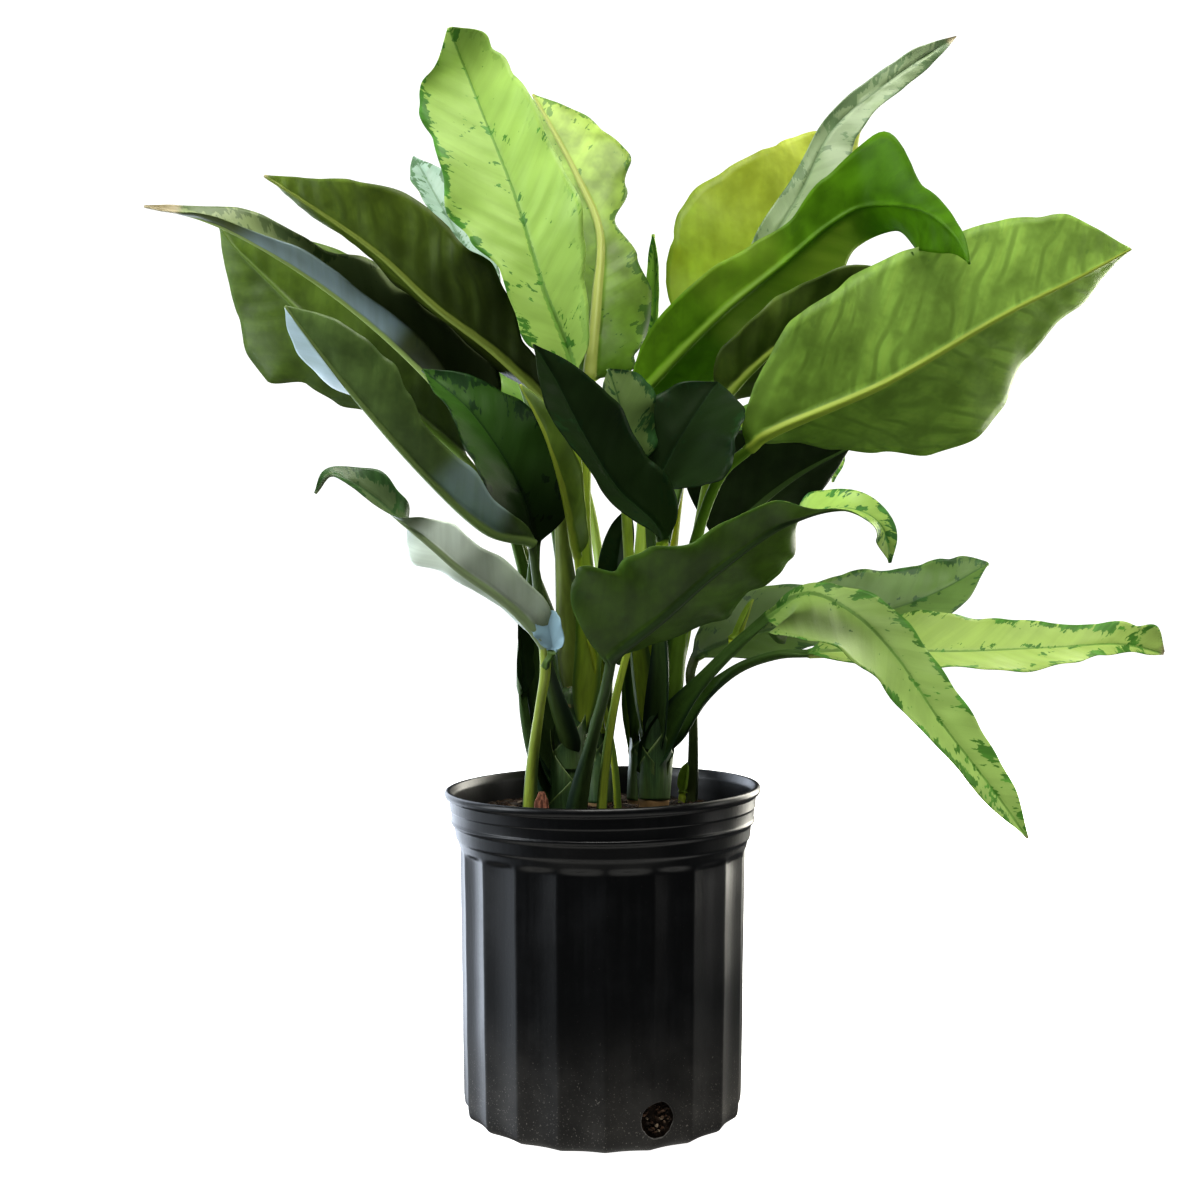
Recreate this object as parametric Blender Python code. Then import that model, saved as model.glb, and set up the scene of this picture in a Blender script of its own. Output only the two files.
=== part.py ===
"""Potted chinese evergreen: a fluted nursery pot, soil, four canes and their leaves."""
import math
from dataclasses import dataclass

import bmesh
import bpy
from mathutils import Vector

# All lengths below are millimetres and turn into metres when a mesh is made.
MM = 0.001
SEAT_GAP = 0.35

# The pot: a turned wall with shallow flutes, two collar bands and a rolled lip.
POT_HEIGHT = 228.0
RIM_RADIUS = 111.0
COLLAR_RADIUS = 104.2
BODY_TOP_RADIUS = 100.5
BODY_FOOT_RADIUS = 98.0
WALL = 2.6
FLOOR = 4.0
FLUTES = 20
FLUTE_DEPTH = 1.5
POT_COLUMNS = 80
# The lip stands this much higher on the right and lower on the left.
RIM_TILT = 2.0
RIM_TILT_START = 190.0

# Three round drainage holes low in the wall, given by their turn round the pot in degrees.
HOLE_RADIUS = 12.3
HOLE_HEIGHT = 21.0
HOLE_ANGLES = (-68.0, 52.0, 172.0)
HOLE_SIDES = 24
DRILL_REACH = (82.0, 112.0)

# The potting mix and its uneven top.
SOIL_TOP = 210.0
SOIL_COLUMNS = 40
SOIL_SLACK = 0.7
SOIL_WAVES = ((1.3, 3, 1.0), (1.0, 7, 2.3))

CANE_SIDES = 12

# A leaf's stalk and blade.
STALK_BASE = 6.0
STALK_END = 3.8
STALK_TAPER = 1.4
STALK_FLATNESS = 0.85
STALK_TURN = 40.0
STALK_ROOM = 0.4
LEAF_THICKNESS = 0.9
KEEL = 2.6
KEEL_FADE = 1.5
ARC_STEPS = 8
WAVE_OFFSET = 1.9
STALK_STATIONS = (0.0, 0.22, 0.48, 0.76)
CUTTER_STATIONS = (0.0, 0.1, 0.25)
BLADE_STATIONS = (0.0, 0.05, 0.12, 0.2, 0.29, 0.38, 0.47, 0.56, 0.65, 0.74, 0.82, 0.9, 0.96, 1.0)
ACROSS = (0.0, 0.5, 1.0)
SPAN_STEPS = 14

# Half width of a blade along its length, as shares of the full half width.
OUTLINE = ((0.0, 0.07), (0.04, 0.38), (0.1, 0.7), (0.18, 0.9), (0.3, 1.0), (0.45, 1.0), (0.58, 0.96),
           (0.7, 0.86), (0.8, 0.69), (0.88, 0.46), (0.94, 0.23), (1.0, 0.025))

# Colour and roughness of each kind of leaf, and of the other pieces.
LEAF_TONES = {
    "light": ((0.25, 0.45, 0.13), 0.45),
    "mid": ((0.13, 0.28, 0.07), 0.45),
    "dark": ((0.035, 0.085, 0.03), 0.5),
    "yellow": ((0.3, 0.45, 0.06), 0.45),
}
POT_PLASTIC = ((0.02, 0.021, 0.023), 0.45)
SOIL_MIX = ((0.035, 0.024, 0.016), 0.95)
CANE_SKIN = ((0.11, 0.2, 0.045), 0.5)
BARK = ((0.16, 0.07, 0.045), 0.9)

# Each cane: its line from under the soil to its top, and its radii along that line.
CANES = {
    "cane_left": ([(-25, -14, 182), (-25, -14, 215), (-23, -13, 262), (-21, -12, 302)], (12, 12, 11, 7.5)),
    "cane_right": ([(36, 0, 182), (36, 0, 215), (38, 1, 262), (40, 2, 305)], (10.5, 10.5, 9.5, 7.5)),
    "cane_back_left": ([(-2, 30, 182), (-2, 30, 215), (-4, 32, 255), (-6, 34, 290)], (8.5, 8.5, 8, 6.5)),
    "cane_back_right": ([(27, 40, 182), (27, 40, 215), (30, 43, 255), (33, 45, 290)], (8.5, 8.5, 8, 6.5)),
}

# The chip of bark: its place, its turn in degrees, and its height, half width and half thickness.
CHIP_PLACE = (-41.0, -58.0)
CHIP_TURN = 25.0
CHIP_SKEW = 0.6
CHIP_SECTIONS = ((203.0, 5.5, 2.6), (216.0, 6.0, 2.8), (226.0, 5.0, 2.2), (231.0, 2.2, 1.0))


def clear_scene():
    for old in list(bpy.data.objects):
        bpy.data.objects.remove(old, do_unlink=True)


def material(name, finish):
    """A plain finish of one colour and roughness."""
    color, roughness = finish
    made = bpy.data.materials.new(name)
    made.use_nodes = True
    shader = made.node_tree.nodes["Principled BSDF"]
    shader.inputs["Base Color"].default_value = (*color, 1.0)
    shader.inputs["Roughness"].default_value = roughness
    shader.inputs["Metallic"].default_value = 0.0
    return made


def tidy_faces(thing):
    """Splits every face into triangles and turns them all outwards."""
    work = bmesh.new()
    work.from_mesh(thing.data)
    bmesh.ops.triangulate(work, faces=[f for f in work.faces if len(f.verts) > 3])
    bmesh.ops.recalc_face_normals(work, faces=work.faces)
    work.to_mesh(thing.data)
    work.free()


def solid(name, rings, finish=None):
    """One closed body lofted through rings of points and capped at both ends.

    A leaf's ring runs over the upper side and back along the underside, so the second half of it
    is split the other way, and both sides of a blade have the same triangles.
    """
    count = len(rings[0])
    last = (len(rings) - 1) * count
    points = [tuple(c * MM for c in p) for ring in rings for p in ring]
    faces = [tuple(reversed(range(count))), tuple(last + k for k in range(count))]
    for start in range(0, last, count):
        for k in range(count):
            a = start + k
            b = start + (k + 1) % count
            if k < count // 2:
                faces.append((a, b, b + count))
                faces.append((a, b + count, a + count))
            else:
                faces.append((a, b, a + count))
                faces.append((b, b + count, a + count))
    mesh = bpy.data.meshes.new(name)
    mesh.from_pydata(points, [], faces)
    thing = bpy.data.objects.new(name, mesh)
    bpy.context.scene.collection.objects.link(thing)
    tidy_faces(thing)
    if finish:
        mesh.materials.append(material(name + "_finish", finish))
    return thing


def cut(thing, cutter):
    """Takes the cutter's shape out of the thing, with the cutter left in place."""
    step = thing.modifiers.new("cut", "BOOLEAN")
    step.operation = "DIFFERENCE"
    step.solver = "EXACT"
    step.object = cutter
    graph = bpy.context.evaluated_depsgraph_get()
    done = bpy.data.meshes.new_from_object(thing.evaluated_get(graph))
    thing.modifiers.clear()
    thing.data = done
    tidy_faces(thing)


def remove(thing):
    bpy.data.objects.remove(thing, do_unlink=True)


def curve(points):
    """A smooth line through all the points, as a dense list."""
    knots = [Vector(p) for p in points]
    knots = [knots[0] * 2 - knots[1]] + knots + [knots[-1] * 2 - knots[-2]]
    line = []
    for a, b, c, d in zip(knots, knots[1:], knots[2:], knots[3:]):
        for step in range(SPAN_STEPS):
            t = step / SPAN_STEPS
            line.append(0.5 * (2 * b + (c - a) * t + (2 * a - 5 * b + 4 * c - d) * t ** 2
                               + (3 * b - a - 3 * c + d) * t ** 3))
    line.append(knots[-2])
    return line


def along(line, share):
    """The point and the direction at a share of the line's length."""
    lengths = [0.0]
    for a, b in zip(line, line[1:]):
        lengths.append(lengths[-1] + (b - a).length)
    goal = share * lengths[-1]
    i = 0
    while i < len(line) - 2 and lengths[i + 1] < goal:
        i += 1
    part = (goal - lengths[i]) / (lengths[i + 1] - lengths[i])
    before = line[max(i - 1, 0)]
    after = line[min(i + 2, len(line) - 1)]
    return line[i].lerp(line[i + 1], part), (after - before).normalized()


def table_value(table, s):
    """A value read off a table of (share, value) rows."""
    for (s0, v0), (s1, v1) in zip(table, table[1:]):
        if s <= s1:
            return v0 + (v1 - v0) * (s - s0) / (s1 - s0)
    return table[-1][1]


def blend(values, s):
    """A value at share s of a list of numbers or vectors that stand evenly spaced."""
    if len(values) == 1:
        return values[0]
    at = min(max(s, 0.0), 1.0) * (len(values) - 1)
    i = min(int(at), len(values) - 2)
    t = at - i
    t = t * t * (3 - 2 * t)
    if isinstance(values[i], (int, float)):
        return values[i] + (values[i + 1] - values[i]) * t
    return Vector(values[i]).lerp(Vector(values[i + 1]), t)


def changing(value, s):
    """A number, or a list of numbers that the blade runs through from base to tip."""
    return blend(value, s) if isinstance(value, list) else value


@dataclass
class Leaf:
    """A blade and its stalk as one closed body.

    stalk and blade are points on the two lines, and face is where the upper side looks from base
    to tip. fold, curl and sides come in pairs, for the two halves of the blade: fold is the half's
    slope at the rib and curl the slope that it gains by the margin, in degrees, and sides its share
    of the half width. wave is the margin's height, the number of waves and their start.
    """

    name: str
    seat: str
    tone: str
    width: float
    stalk: list
    blade: list
    face: list
    fold: tuple
    curl: tuple
    wave: tuple
    sides: tuple = (1.0, 1.0)

    def __post_init__(self):
        self.stalk_line = curve(self.stalk + [self.blade[0]])
        self.blade_line = curve([self.stalk[-1]] + self.blade)[SPAN_STEPS:]

    def frame(self, forward, s):
        """The blade's sideways and upward directions at share s."""
        facing = Vector(blend(self.face, s))
        up = (facing - forward * facing.dot(forward)).normalized()
        return forward.cross(up), up

    def stalk_ring(self, share, grow=0.0):
        """A slightly flattened ring round the stalk."""
        centre, forward = along(self.stalk_line, share)
        side, up = self.frame(forward, 0.0)
        r = STALK_BASE + (STALK_END - STALK_BASE) * min(share * STALK_TAPER, 1.0) + grow
        top, under = [], []
        for k in range(-2, 3):
            turn = math.radians(STALK_TURN * k)
            out = side * (r * math.sin(turn))
            lift = up * (STALK_FLATNESS * r * math.cos(turn))
            top.append(centre + out + lift)
            under.append(centre + out - lift)
        return top + under[::-1]

    def half_profile(self, which, s, share):
        """How far out and up a half blade has come at a share of its width, and its slope there."""
        half = self.width / 2 * table_value(OUTLINE, s) * changing(self.sides[which], s)
        fold = math.radians(changing(self.fold[which], s))
        curl = math.radians(changing(self.curl[which], s))
        out, rise = 0.0, 0.0
        for step in range(ARC_STEPS):
            slope = fold + curl * share * (step + 0.5) / ARC_STEPS
            out += math.cos(slope) * half * share / ARC_STEPS
            rise += math.sin(slope) * half * share / ARC_STEPS
        height, count, start = self.wave
        swing = height * math.sin(2 * math.pi * count * s + start + WAVE_OFFSET * which)
        return out, rise + swing * share ** 2 * min(half * 2 / self.width, 1.0), slope

    def blade_ring(self, s):
        """A ring round the blade: its upper side, then back along its underside."""
        centre, forward = along(self.blade_line, s)
        side, up = self.frame(forward, s)
        top, under = [], []
        for k in (-2, -1, 1, 2):
            which = 0 if k > 0 else 1
            sign = 1 if k > 0 else -1
            out, rise, slope = self.half_profile(which, s, ACROSS[abs(k)])
            place = centre + side * (sign * out) + up * rise
            normal = up * math.cos(slope) - side * (sign * math.sin(slope))
            top.append(place)
            under.append(place - normal * LEAF_THICKNESS)
        top.insert(2, centre)
        under.insert(2, centre - up * (LEAF_THICKNESS + KEEL * (1 - s) ** KEEL_FADE))
        return top + under[::-1]

    def build(self):
        rings = [self.stalk_ring(share) for share in STALK_STATIONS]
        rings += [self.blade_ring(s) for s in BLADE_STATIONS]
        return solid(self.name, rings, LEAF_TONES[self.tone])

    def stalk_cutter(self):
        """The foot of the stalk, grown all round and made longer, to cut its hole in the soil."""
        rings = [self.stalk_ring(share, STALK_ROOM) for share in CUTTER_STATIONS]
        deeper = [p - Vector((0, 0, 1.0)) for p in rings[0]]
        return solid("stalk_room", [deeper] + rings[1:])


def top_leaves():
    """The leaves that reach the top, from left to right."""
    return [
        Leaf("leaf_blue_tip", seat="cane_back_left", tone="mid", width=69,
             stalk=[(-7, 40, 268), (-20, 52, 330), (-34, 60, 410), (-48, 66, 480)],
             blade=[(-63, 86, 532), (-90, 112, 596), (-119, 138, 651), (-150, 164, 707)],
             face=[(0.2, -0.9, 0.4), (0.3, -0.9, 0.3)],
             fold=(12, 12), curl=(8, 8), wave=(3, 2.5, 0.0)),
        Leaf("leaf_behind_top", seat="cane_back_left", tone="mid", width=82,
             stalk=[(-1, 24, 276), (-6, 14, 320), (-12, 6, 380), (-12, 2, 450)],
             blade=[(-9, 12, 516), (-4, 30, 573), (-2, 50, 625), (-18, 68, 668), (-37, 84, 707),
                    (-52, 96, 736)],
             face=[(0.15, 1, 0.1), (0.15, 1, 0), (0, 1, 0.2)],
             fold=(25, 15), curl=(15, 20), wave=(5, 3, 2.0),
             sides=(1.0, [1.0, 1.15, 0.95, 0.68, 1.3, 2.0])),
        Leaf("leaf_top_center", seat="cane_left", tone="light", width=118,
             stalk=[(-13, -21, 282), (-10, -32, 330), (-13, -36, 390), (-18, -38, 455)],
             blade=[(-20, -38, 515), (-40, -38, 570), (-60, -28, 635), (-82, -14, 692), (-95, -8, 726),
                    (-103, -20, 746)],
             face=[(0.05, -1, 0.2), (0.0, -1, 0.1), (0.1, -0.9, 0.4)],
             fold=(18, 8), curl=(10, 8), wave=(5, 3, 0.4),
             sides=([0.7, 0.7, 0.8, 0.68, 1.0, 1.7], [0.5, 0.45, 0.92, 0.76, 1.0, 1.2])),
        Leaf("leaf_new_spike", seat="cane_back_right", tone="mid", width=20,
             stalk=[(24, 48, 262), (26, 58, 340), (30, 66, 420), (34, 72, 490)],
             blade=[(37, 86, 541), (39, 92, 572), (40, 97, 603), (38, 100, 633)],
             face=[(-0.3, -0.9, 0.2)],
             fold=(40, 40), curl=(40, 40), wave=(1, 2, 0.0)),
        Leaf("leaf_yellow_right", seat="cane_back_right", tone="yellow", width=107,
             stalk=[(33, 45, 286), (42, 48, 340), (54, 54, 410), (62, 60, 480)],
             blade=[(69, 74, 552), (96, 94, 595), (132, 116, 639), (171, 138, 678), (203, 156, 725)],
             face=[(-0.2, 1, 0.2), (-0.2, 1, 0.3), (0, 0.8, 0.5)],
             fold=(8, 8), curl=(8, 8), wave=(4, 3, 0.0)),
        Leaf("leaf_narrow_right", seat="cane_back_right", tone="mid", width=56,
             stalk=[(25, 36, 274), (30, 30, 330), (44, 32, 400), (66, 36, 480)],
             blade=[(92, 44, 563), (115, 48, 606), (144, 52, 654), (169, 58, 702), (213, 66, 740),
                    (255, 74, 774)],
             face=[(-0.35, -0.85, 0.4), (-0.35, -0.85, 0.4), (-0.5, -0.7, 0.5)],
             fold=(25, 45), curl=(10, 12), wave=(4, 3, 1.0),
             sides=([1.1, 1.3, 1.3, 0.8, 1.1, 1.2], [0.3, 0.4, 0.5, 0.5, 0.9, 1.2])),
        Leaf("leaf_arching", seat="cane_right", tone="mid", width=100,
             stalk=[(37, 2, 298), (36, -2, 345), (40, -5, 400), (34, -10, 450)],
             blade=[(22, -12, 490), (42, -16, 518), (82, -14, 558), (124, -8, 592), (158, -6, 620),
                    (184, -10, 632), (211, -50, 621), (229, -74, 600), (237, -90, 577)],
             face=[(-0.3, 0.8, 0.5), (-0.2, 0.7, 0.7), (0.1, 0.6, 0.8), (0.7, 0.6, 0.4)],
             fold=(14, 22), curl=(10, 15), wave=(4, 3, 0.0),
             sides=([0.6, 0.6, 0.55, 1.0, 0.8, 0.5], [1.0, 1.0, 1.0, 1.0, 0.7, 0.7])),
    ]


def left_leaves():
    """The leaves that spread to the left, from top to bottom."""
    return [
        Leaf("leaf_olive_left", seat="cane_left", tone="dark", width=98,
             stalk=[(-21, -11, 298), (-25, -7, 350), (-28, -3, 400), (-29, -4, 450)],
             blade=[(-28, -6, 485), (-70, -8, 528), (-115, -14, 562), (-152, -18, 596), (-191, -18, 624),
                    (-232, -16, 651)],
             face=[(0.3, 0.75, 0.6), (0.3, 0.75, 0.6), (0.2, 0.8, 0.6)],
             fold=(58, 14), curl=(15, 8), wave=(4, 3, 0.0)),
        Leaf("leaf_far_left", seat="cane_left", tone="mid", width=66,
             stalk=[(-31, -5, 274), (-42, 8, 325), (-56, 11, 380), (-70, 11, 430)],
             blade=[(-85, 24, 469), (-120, 22, 514), (-175, 10, 563), (-233, -6, 602), (-275, -20, 621),
                    (-312, -28, 628)],
             face=[(0.1, -0.75, 0.65), (0.1, -0.75, 0.65), (0.1, -0.8, 0.6)],
             fold=(12, 12), curl=(10, 10), wave=(3, 3, 0.5)),
        Leaf("leaf_far_left_olive", seat="cane_back_left", tone="dark", width=129,
             stalk=[(-12, 32, 262), (-32, 36, 320), (-52, 38, 380), (-78, 38, 430)],
             blade=[(-104, 58, 463), (-152, 64, 505), (-203, 68, 550), (-251, 70, 597), (-286, 70, 634)],
             face=[(0.1, 0.95, 0.2), (0.1, 0.95, 0.2), (0.1, 0.9, 0.3)],
             fold=(4, 14), curl=(8, 8), wave=(3, 3, 0.0),
             sides=([0.3, 0.4, 0.62, 0.92, 1.0, 1.0], 1.0)),
        Leaf("leaf_rolled", seat="cane_left", tone="dark", width=92,
             stalk=[(-29, -25, 262), (-37, -42, 300), (-41, -54, 340), (-43, -62, 370)],
             blade=[(-46, -68, 397), (-74, -82, 412), (-112, -96, 450), (-156, -106, 500),
                    (-198, -114, 546)],
             face=[(0.5, 0.2, 0.85), (0.55, 0.2, 0.8), (0.6, 0.3, 0.7)],
             fold=(38, 45), curl=(20, 25), wave=(3, 3, 0.0),
             sides=(0.68, 1.0)),
        Leaf("leaf_dark_left", seat="cane_left", tone="dark", width=74,
             stalk=[(-34, -15, 242), (-47, -18, 300), (-51, -18, 340), (-48, -22, 370)],
             blade=[(-46, -26, 398), (-54, -31, 440), (-78, -34, 485), (-106, -36, 525)],
             face=[(0.4, -0.7, 0.6), (0.4, -0.7, 0.6)],
             fold=(15, 15), curl=(10, 10), wave=(3, 2.5, 0.0)),
        Leaf("leaf_narrow_olive", seat="soil", tone="yellow", width=40,
             stalk=[(12, -18, 196), (12, -22, 250), (4, -36, 310), (-7, -48, 350)],
             blade=[(-16, -56, 390), (-24, -60, 430), (-36, -60, 468), (-54, -56, 504)],
             face=[(0.9, 0.2, 0.3)],
             fold=(20, 20), curl=(10, 10), wave=(2, 2, 0.0)),
        Leaf("leaf_twisted_left", seat="soil", tone="mid", width=72,
             stalk=[(-47, -36, 196), (-45, -44, 250), (-39, -60, 292), (-37, -70, 314)],
             blade=[(-38, -78, 331), (-60, -90, 358), (-90, -104, 380), (-108, -112, 396),
                    (-132, -118, 417), (-154, -122, 434), (-171, -124, 441), (-181, -124, 429)],
             face=[(0.3, 0.75, 0.5), (0.3, 0.75, 0.5), (0.3, 0.15, 0.95), (0.3, 0.0, 0.95)],
             fold=(15, 15), curl=(12, 12), wave=(4, 3, 0.0),
             sides=([0.6, 0.6, 0.7, 0.8], [0.9, 0.6, 0.55, 0.8])),
        Leaf("leaf_beside_cane", seat="cane_left", tone="dark", width=20,
             stalk=[(-36, -19, 218), (-44, -25, 240), (-50, -28, 262), (-53, -30, 280)],
             blade=[(-54, -31, 296), (-55, -32, 320), (-54, -32, 345), (-51, -32, 366)],
             face=[(0.7, -0.5, 0.3)],
             fold=(15, 15), curl=(8, 8), wave=(1, 2, 0.0)),
    ]


def middle_leaves():
    """The short leaves in the middle."""
    return [
        Leaf("leaf_dark_center", seat="cane_right", tone="dark", width=66,
             stalk=[(38, -8, 264), (40, -26, 320), (35, -32, 380), (32, -34, 415)],
             blade=[(34, -35, 434), (48, -36, 462), (64, -34, 488), (78, -30, 508)],
             face=[(-0.5, -0.8, 0.3), (-0.4, -0.9, 0.3)],
             fold=(16, 20), curl=(10, 10), wave=(3, 2, 0.0)),
        Leaf("leaf_strap", seat="soil", tone="dark", width=60,
             stalk=[(-2, -38, 196), (1, -42, 240), (8, -50, 290), (22, -58, 345)],
             blade=[(40, -68, 400), (10, -82, 434), (-12, -94, 468), (-30, -102, 502), (-44, -106, 524)],
             face=[(0.3, -0.9, 0.4), (0.4, -0.85, 0.4), (0.2, -0.9, 0.4)],
             fold=(15, 15), curl=(12, 12), wave=(3, 2, 0.0)),
        Leaf("leaf_spotted", seat="cane_right", tone="mid", width=44,
             stalk=[(29, -5, 280), (22, -16, 340), (18, -26, 390), (16, -36, 425)],
             blade=[(16, -44, 448), (9, -52, 468), (0, -58, 490), (-9, -62, 510)],
             face=[(0.5, -0.7, 0.5)],
             fold=(12, 12), curl=(8, 8), wave=(2, 2, 0.0)),
    ]


def right_leaves():
    """The leaves that spread to the right, from top to bottom."""
    return [
        Leaf("leaf_big_right", seat="cane_right", tone="mid", width=140,
             stalk=[(47, -3, 280), (58, -18, 335), (70, -28, 380), (84, -38, 425)],
             blade=[(102, -44, 456), (116, -46, 470), (190, -42, 506), (270, -32, 552), (325, -20, 580),
                    (365, -8, 602)],
             face=[(-0.35, 0.93, 0.1), (-0.3, 0.93, 0.05), (-0.2, 0.9, 0.3)],
             fold=(6, [52, 30, 34]), curl=(8, 10), wave=(5, 3, 0.0),
             sides=([1.1, 1.1, 1.1, 1.05, 1.2, 1.5], [0.94, 0.94, 0.94, 0.94, 0.7, 0.8])),
        Leaf("leaf_between_right", seat="cane_right", tone="mid", width=56,
             stalk=[(46, 5, 290), (59, 7, 350), (68, 6, 410), (77, 2, 460)],
             blade=[(84, -2, 496), (108, -10, 524), (140, -18, 548), (168, -26, 568), (200, -32, 582)],
             face=[(-0.3, 0.8, 0.5), (-0.3, 0.8, 0.5), (-0.2, 0.8, 0.6)],
             fold=(10, 10), curl=(8, 8), wave=(3, 2.5, 0.0)),
        Leaf("leaf_small_tip", seat="cane_back_right", tone="light", width=60,
             stalk=[(38, 46, 262), (58, 62, 330), (74, 74, 380), (90, 82, 420)],
             blade=[(110, 106, 451), (138, 128, 474), (163, 146, 485), (180, 154, 473), (184, 156, 448)],
             face=[(0, -0.4, 0.9), (0.4, -0.4, 0.8)],
             fold=(10, 10), curl=(8, 8), wave=(2, 2, 0.0)),
        Leaf("leaf_behind_stalk", seat="cane_right", tone="dark", width=72,
             stalk=[(42, 12, 262), (50, 28, 320), (62, 32, 350), (73, 29, 380)],
             blade=[(84, 32, 398), (107, 38, 422), (139, 42, 447), (181, 44, 470)],
             face=[(-0.3, 0.8, 0.5)],
             fold=(10, 10), curl=(8, 8), wave=(2, 2, 0.0)),
        Leaf("leaf_front", seat="cane_left", tone="dark", width=112,
             stalk=[(-18, -26, 238), (-16, -54, 283), (-9, -72, 300), (-2, -82, 310)],
             blade=[(5, -88, 322), (38, -98, 350), (72, -108, 380), (108, -114, 406), (136, -116, 416),
                    (162, -114, 408), (176, -110, 398), (183, -106, 386)],
             face=[(-0.5, 0.8, 0.35), (-0.5, 0.8, 0.35), (-0.5, 0.8, 0.35), (-0.5, 0.75, 0.4),
                   (-0.2, 0.2, 0.9), (0.4, -0.5, 0.8)],
             fold=(10, 10), curl=(8, 8), wave=(3, 3, 0.0),
             sides=([2.0, 1.1, 0.6, 0.5, 0.8, 1.0], [0.9, 1.06, 1.1, 1.25, 1.25, 1.0])),
        Leaf("leaf_upper_level_right", seat="soil", tone="mid", width=79,
             stalk=[(64, 42, 196), (66, 44, 240), (66, 47, 280), (64, 48, 302)],
             blade=[(68, 58, 315), (102, 70, 329), (144, 80, 338), (197, 86, 344), (249, 90, 361),
                    (292, 92, 384)],
             face=[(-0.1, -0.6, 0.75)],
             fold=(8, 8), curl=(8, 8), wave=(3, 3, 1.0),
             sides=([1.0, 1.0, 1.0, 1.0, 1.2, 1.4], [1.0, 1.0, 1.0, 1.1, 1.5, 1.8])),
        Leaf("leaf_level_right", seat="cane_right", tone="light", width=74,
             stalk=[(48, 4, 258), (68, 14, 286), (94, 10, 309), (122, 3, 320)],
             blade=[(145, -2, 322), (188, -8, 324), (245, -22, 324), (305, -28, 327), (355, -28, 329),
                    (386, -24, 322)],
             face=[(0, -0.5, 0.87), (0, -0.5, 0.87), (0, -0.5, 0.87), (-0.1, -0.95, 0.2)],
             fold=(8, 8), curl=(8, 8), wave=(3, 3, 0.0)),
        Leaf("leaf_drooping", seat="cane_right", tone="light", width=70,
             stalk=[(46, -6, 246), (66, -12, 276), (86, -16, 302), (102, -20, 322)],
             blade=[(116, -26, 338), (138, -42, 352), (162, -62, 350), (190, -80, 324), (216, -95, 284),
                    (245, -105, 246), (271, -112, 210)],
             face=[(0.2, -0.75, 0.65), (0.25, -0.75, 0.6), (0.2, -0.85, 0.5)],
             fold=(12, 12), curl=(10, 10), wave=(4, 3, 0.5),
             sides=([0.9, 0.9, 0.8, 0.66, 0.7, 0.8], [1.0, 0.8, 0.6, 0.7, 0.8, 1.0])),
    ]


def back_leaves():
    """The leaves that spread away from the camera."""
    return [
        Leaf("leaf_back_left", seat="cane_back_left", tone="mid", width=96,
             stalk=[(2, 38, 240), (2, 72, 335), (-8, 108, 418), (-24, 140, 470)],
             blade=[(-38, 162, 498), (-60, 194, 528), (-84, 224, 544), (-104, 252, 536),
                    (-118, 274, 510)],
             face=[(-0.3, 0.3, 0.9), (-0.4, 0.5, 0.8)],
             fold=(10, 10), curl=(8, 8), wave=(4, 3, 0.0)),
        Leaf("leaf_back_right", seat="cane_back_right", tone="mid", width=94,
             stalk=[(31, 50, 236), (38, 84, 320), (44, 118, 400), (54, 146, 450)],
             blade=[(64, 166, 478), (84, 196, 502), (104, 224, 508), (124, 250, 496), (140, 270, 470)],
             face=[(0.3, 0.3, 0.9), (0.4, 0.5, 0.8)],
             fold=(10, 10), curl=(8, 8), wave=(4, 3, 0.0)),
    ]

def polar(radius, turn, z):
    return Vector((radius * math.cos(turn), radius * math.sin(turn), z))


def pot_profile():
    """The pot's section, up the outside and down the inside, as (height, radius, depth of flutes)."""
    foot, top, collar, lip = BODY_FOOT_RADIUS, BODY_TOP_RADIUS, COLLAR_RADIUS, RIM_RADIUS
    outside = [(0.0, foot - 8.0, 0.4), (0.8, foot - 4.5, 0.8), (3.5, foot - 1.0, 1.0), (9.0, foot, 1.0),
               (60.0, foot + 0.8, 1.0), (130.0, top - 0.8, 1.0), (186.0, top, 1.0), (191.5, top + 1.0, 0.2)]
    bands = [(193.5, collar - 1.0, 0.0), (203.5, collar, 0.0), (205.5, collar + 2.0, 0.0),
             (222.0, collar + 3.2, 0.0), (223.4, lip - 0.6, 0.0), (226.2, lip, 0.0),
             (POT_HEIGHT, lip - 1.3, 0.0), (POT_HEIGHT, lip - 4.0, 0.0)]
    liner = top - WALL - FLUTE_DEPTH
    inside = [(223.0, collar + 0.4, 0.0), (205.0, collar - 1.0, 0.0), (203.0, collar - 2.8, 0.0),
              (194.0, collar - 3.8, 0.0), (190.0, liner, 0.0),
              (FLOOR + 4.0, foot - WALL - FLUTE_DEPTH, 0.0), (FLOOR, foot - 9.0, 0.0)]
    return outside + bands + inside


def pot():
    """The pot's wall, floor and rolled lip as one turned and fluted body."""
    rings = []
    for z, r, flute in pot_profile():
        ring = []
        for k in range(POT_COLUMNS):
            turn = 2 * math.pi * k / POT_COLUMNS
            dip = FLUTE_DEPTH * flute * (1 - abs(math.cos(FLUTES * turn / 2)))
            height_share = (z - RIM_TILT_START) / (POT_HEIGHT - RIM_TILT_START)
            lift = RIM_TILT * math.cos(turn) * max(height_share, 0.0)
            ring.append(polar(r - dip, turn, z + lift))
        rings.append(ring)
    made = solid("pot", rings, POT_PLASTIC)
    for angle in HOLE_ANGLES:
        drill = drain_drill(angle)
        cut(made, drill)
        remove(drill)


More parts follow.
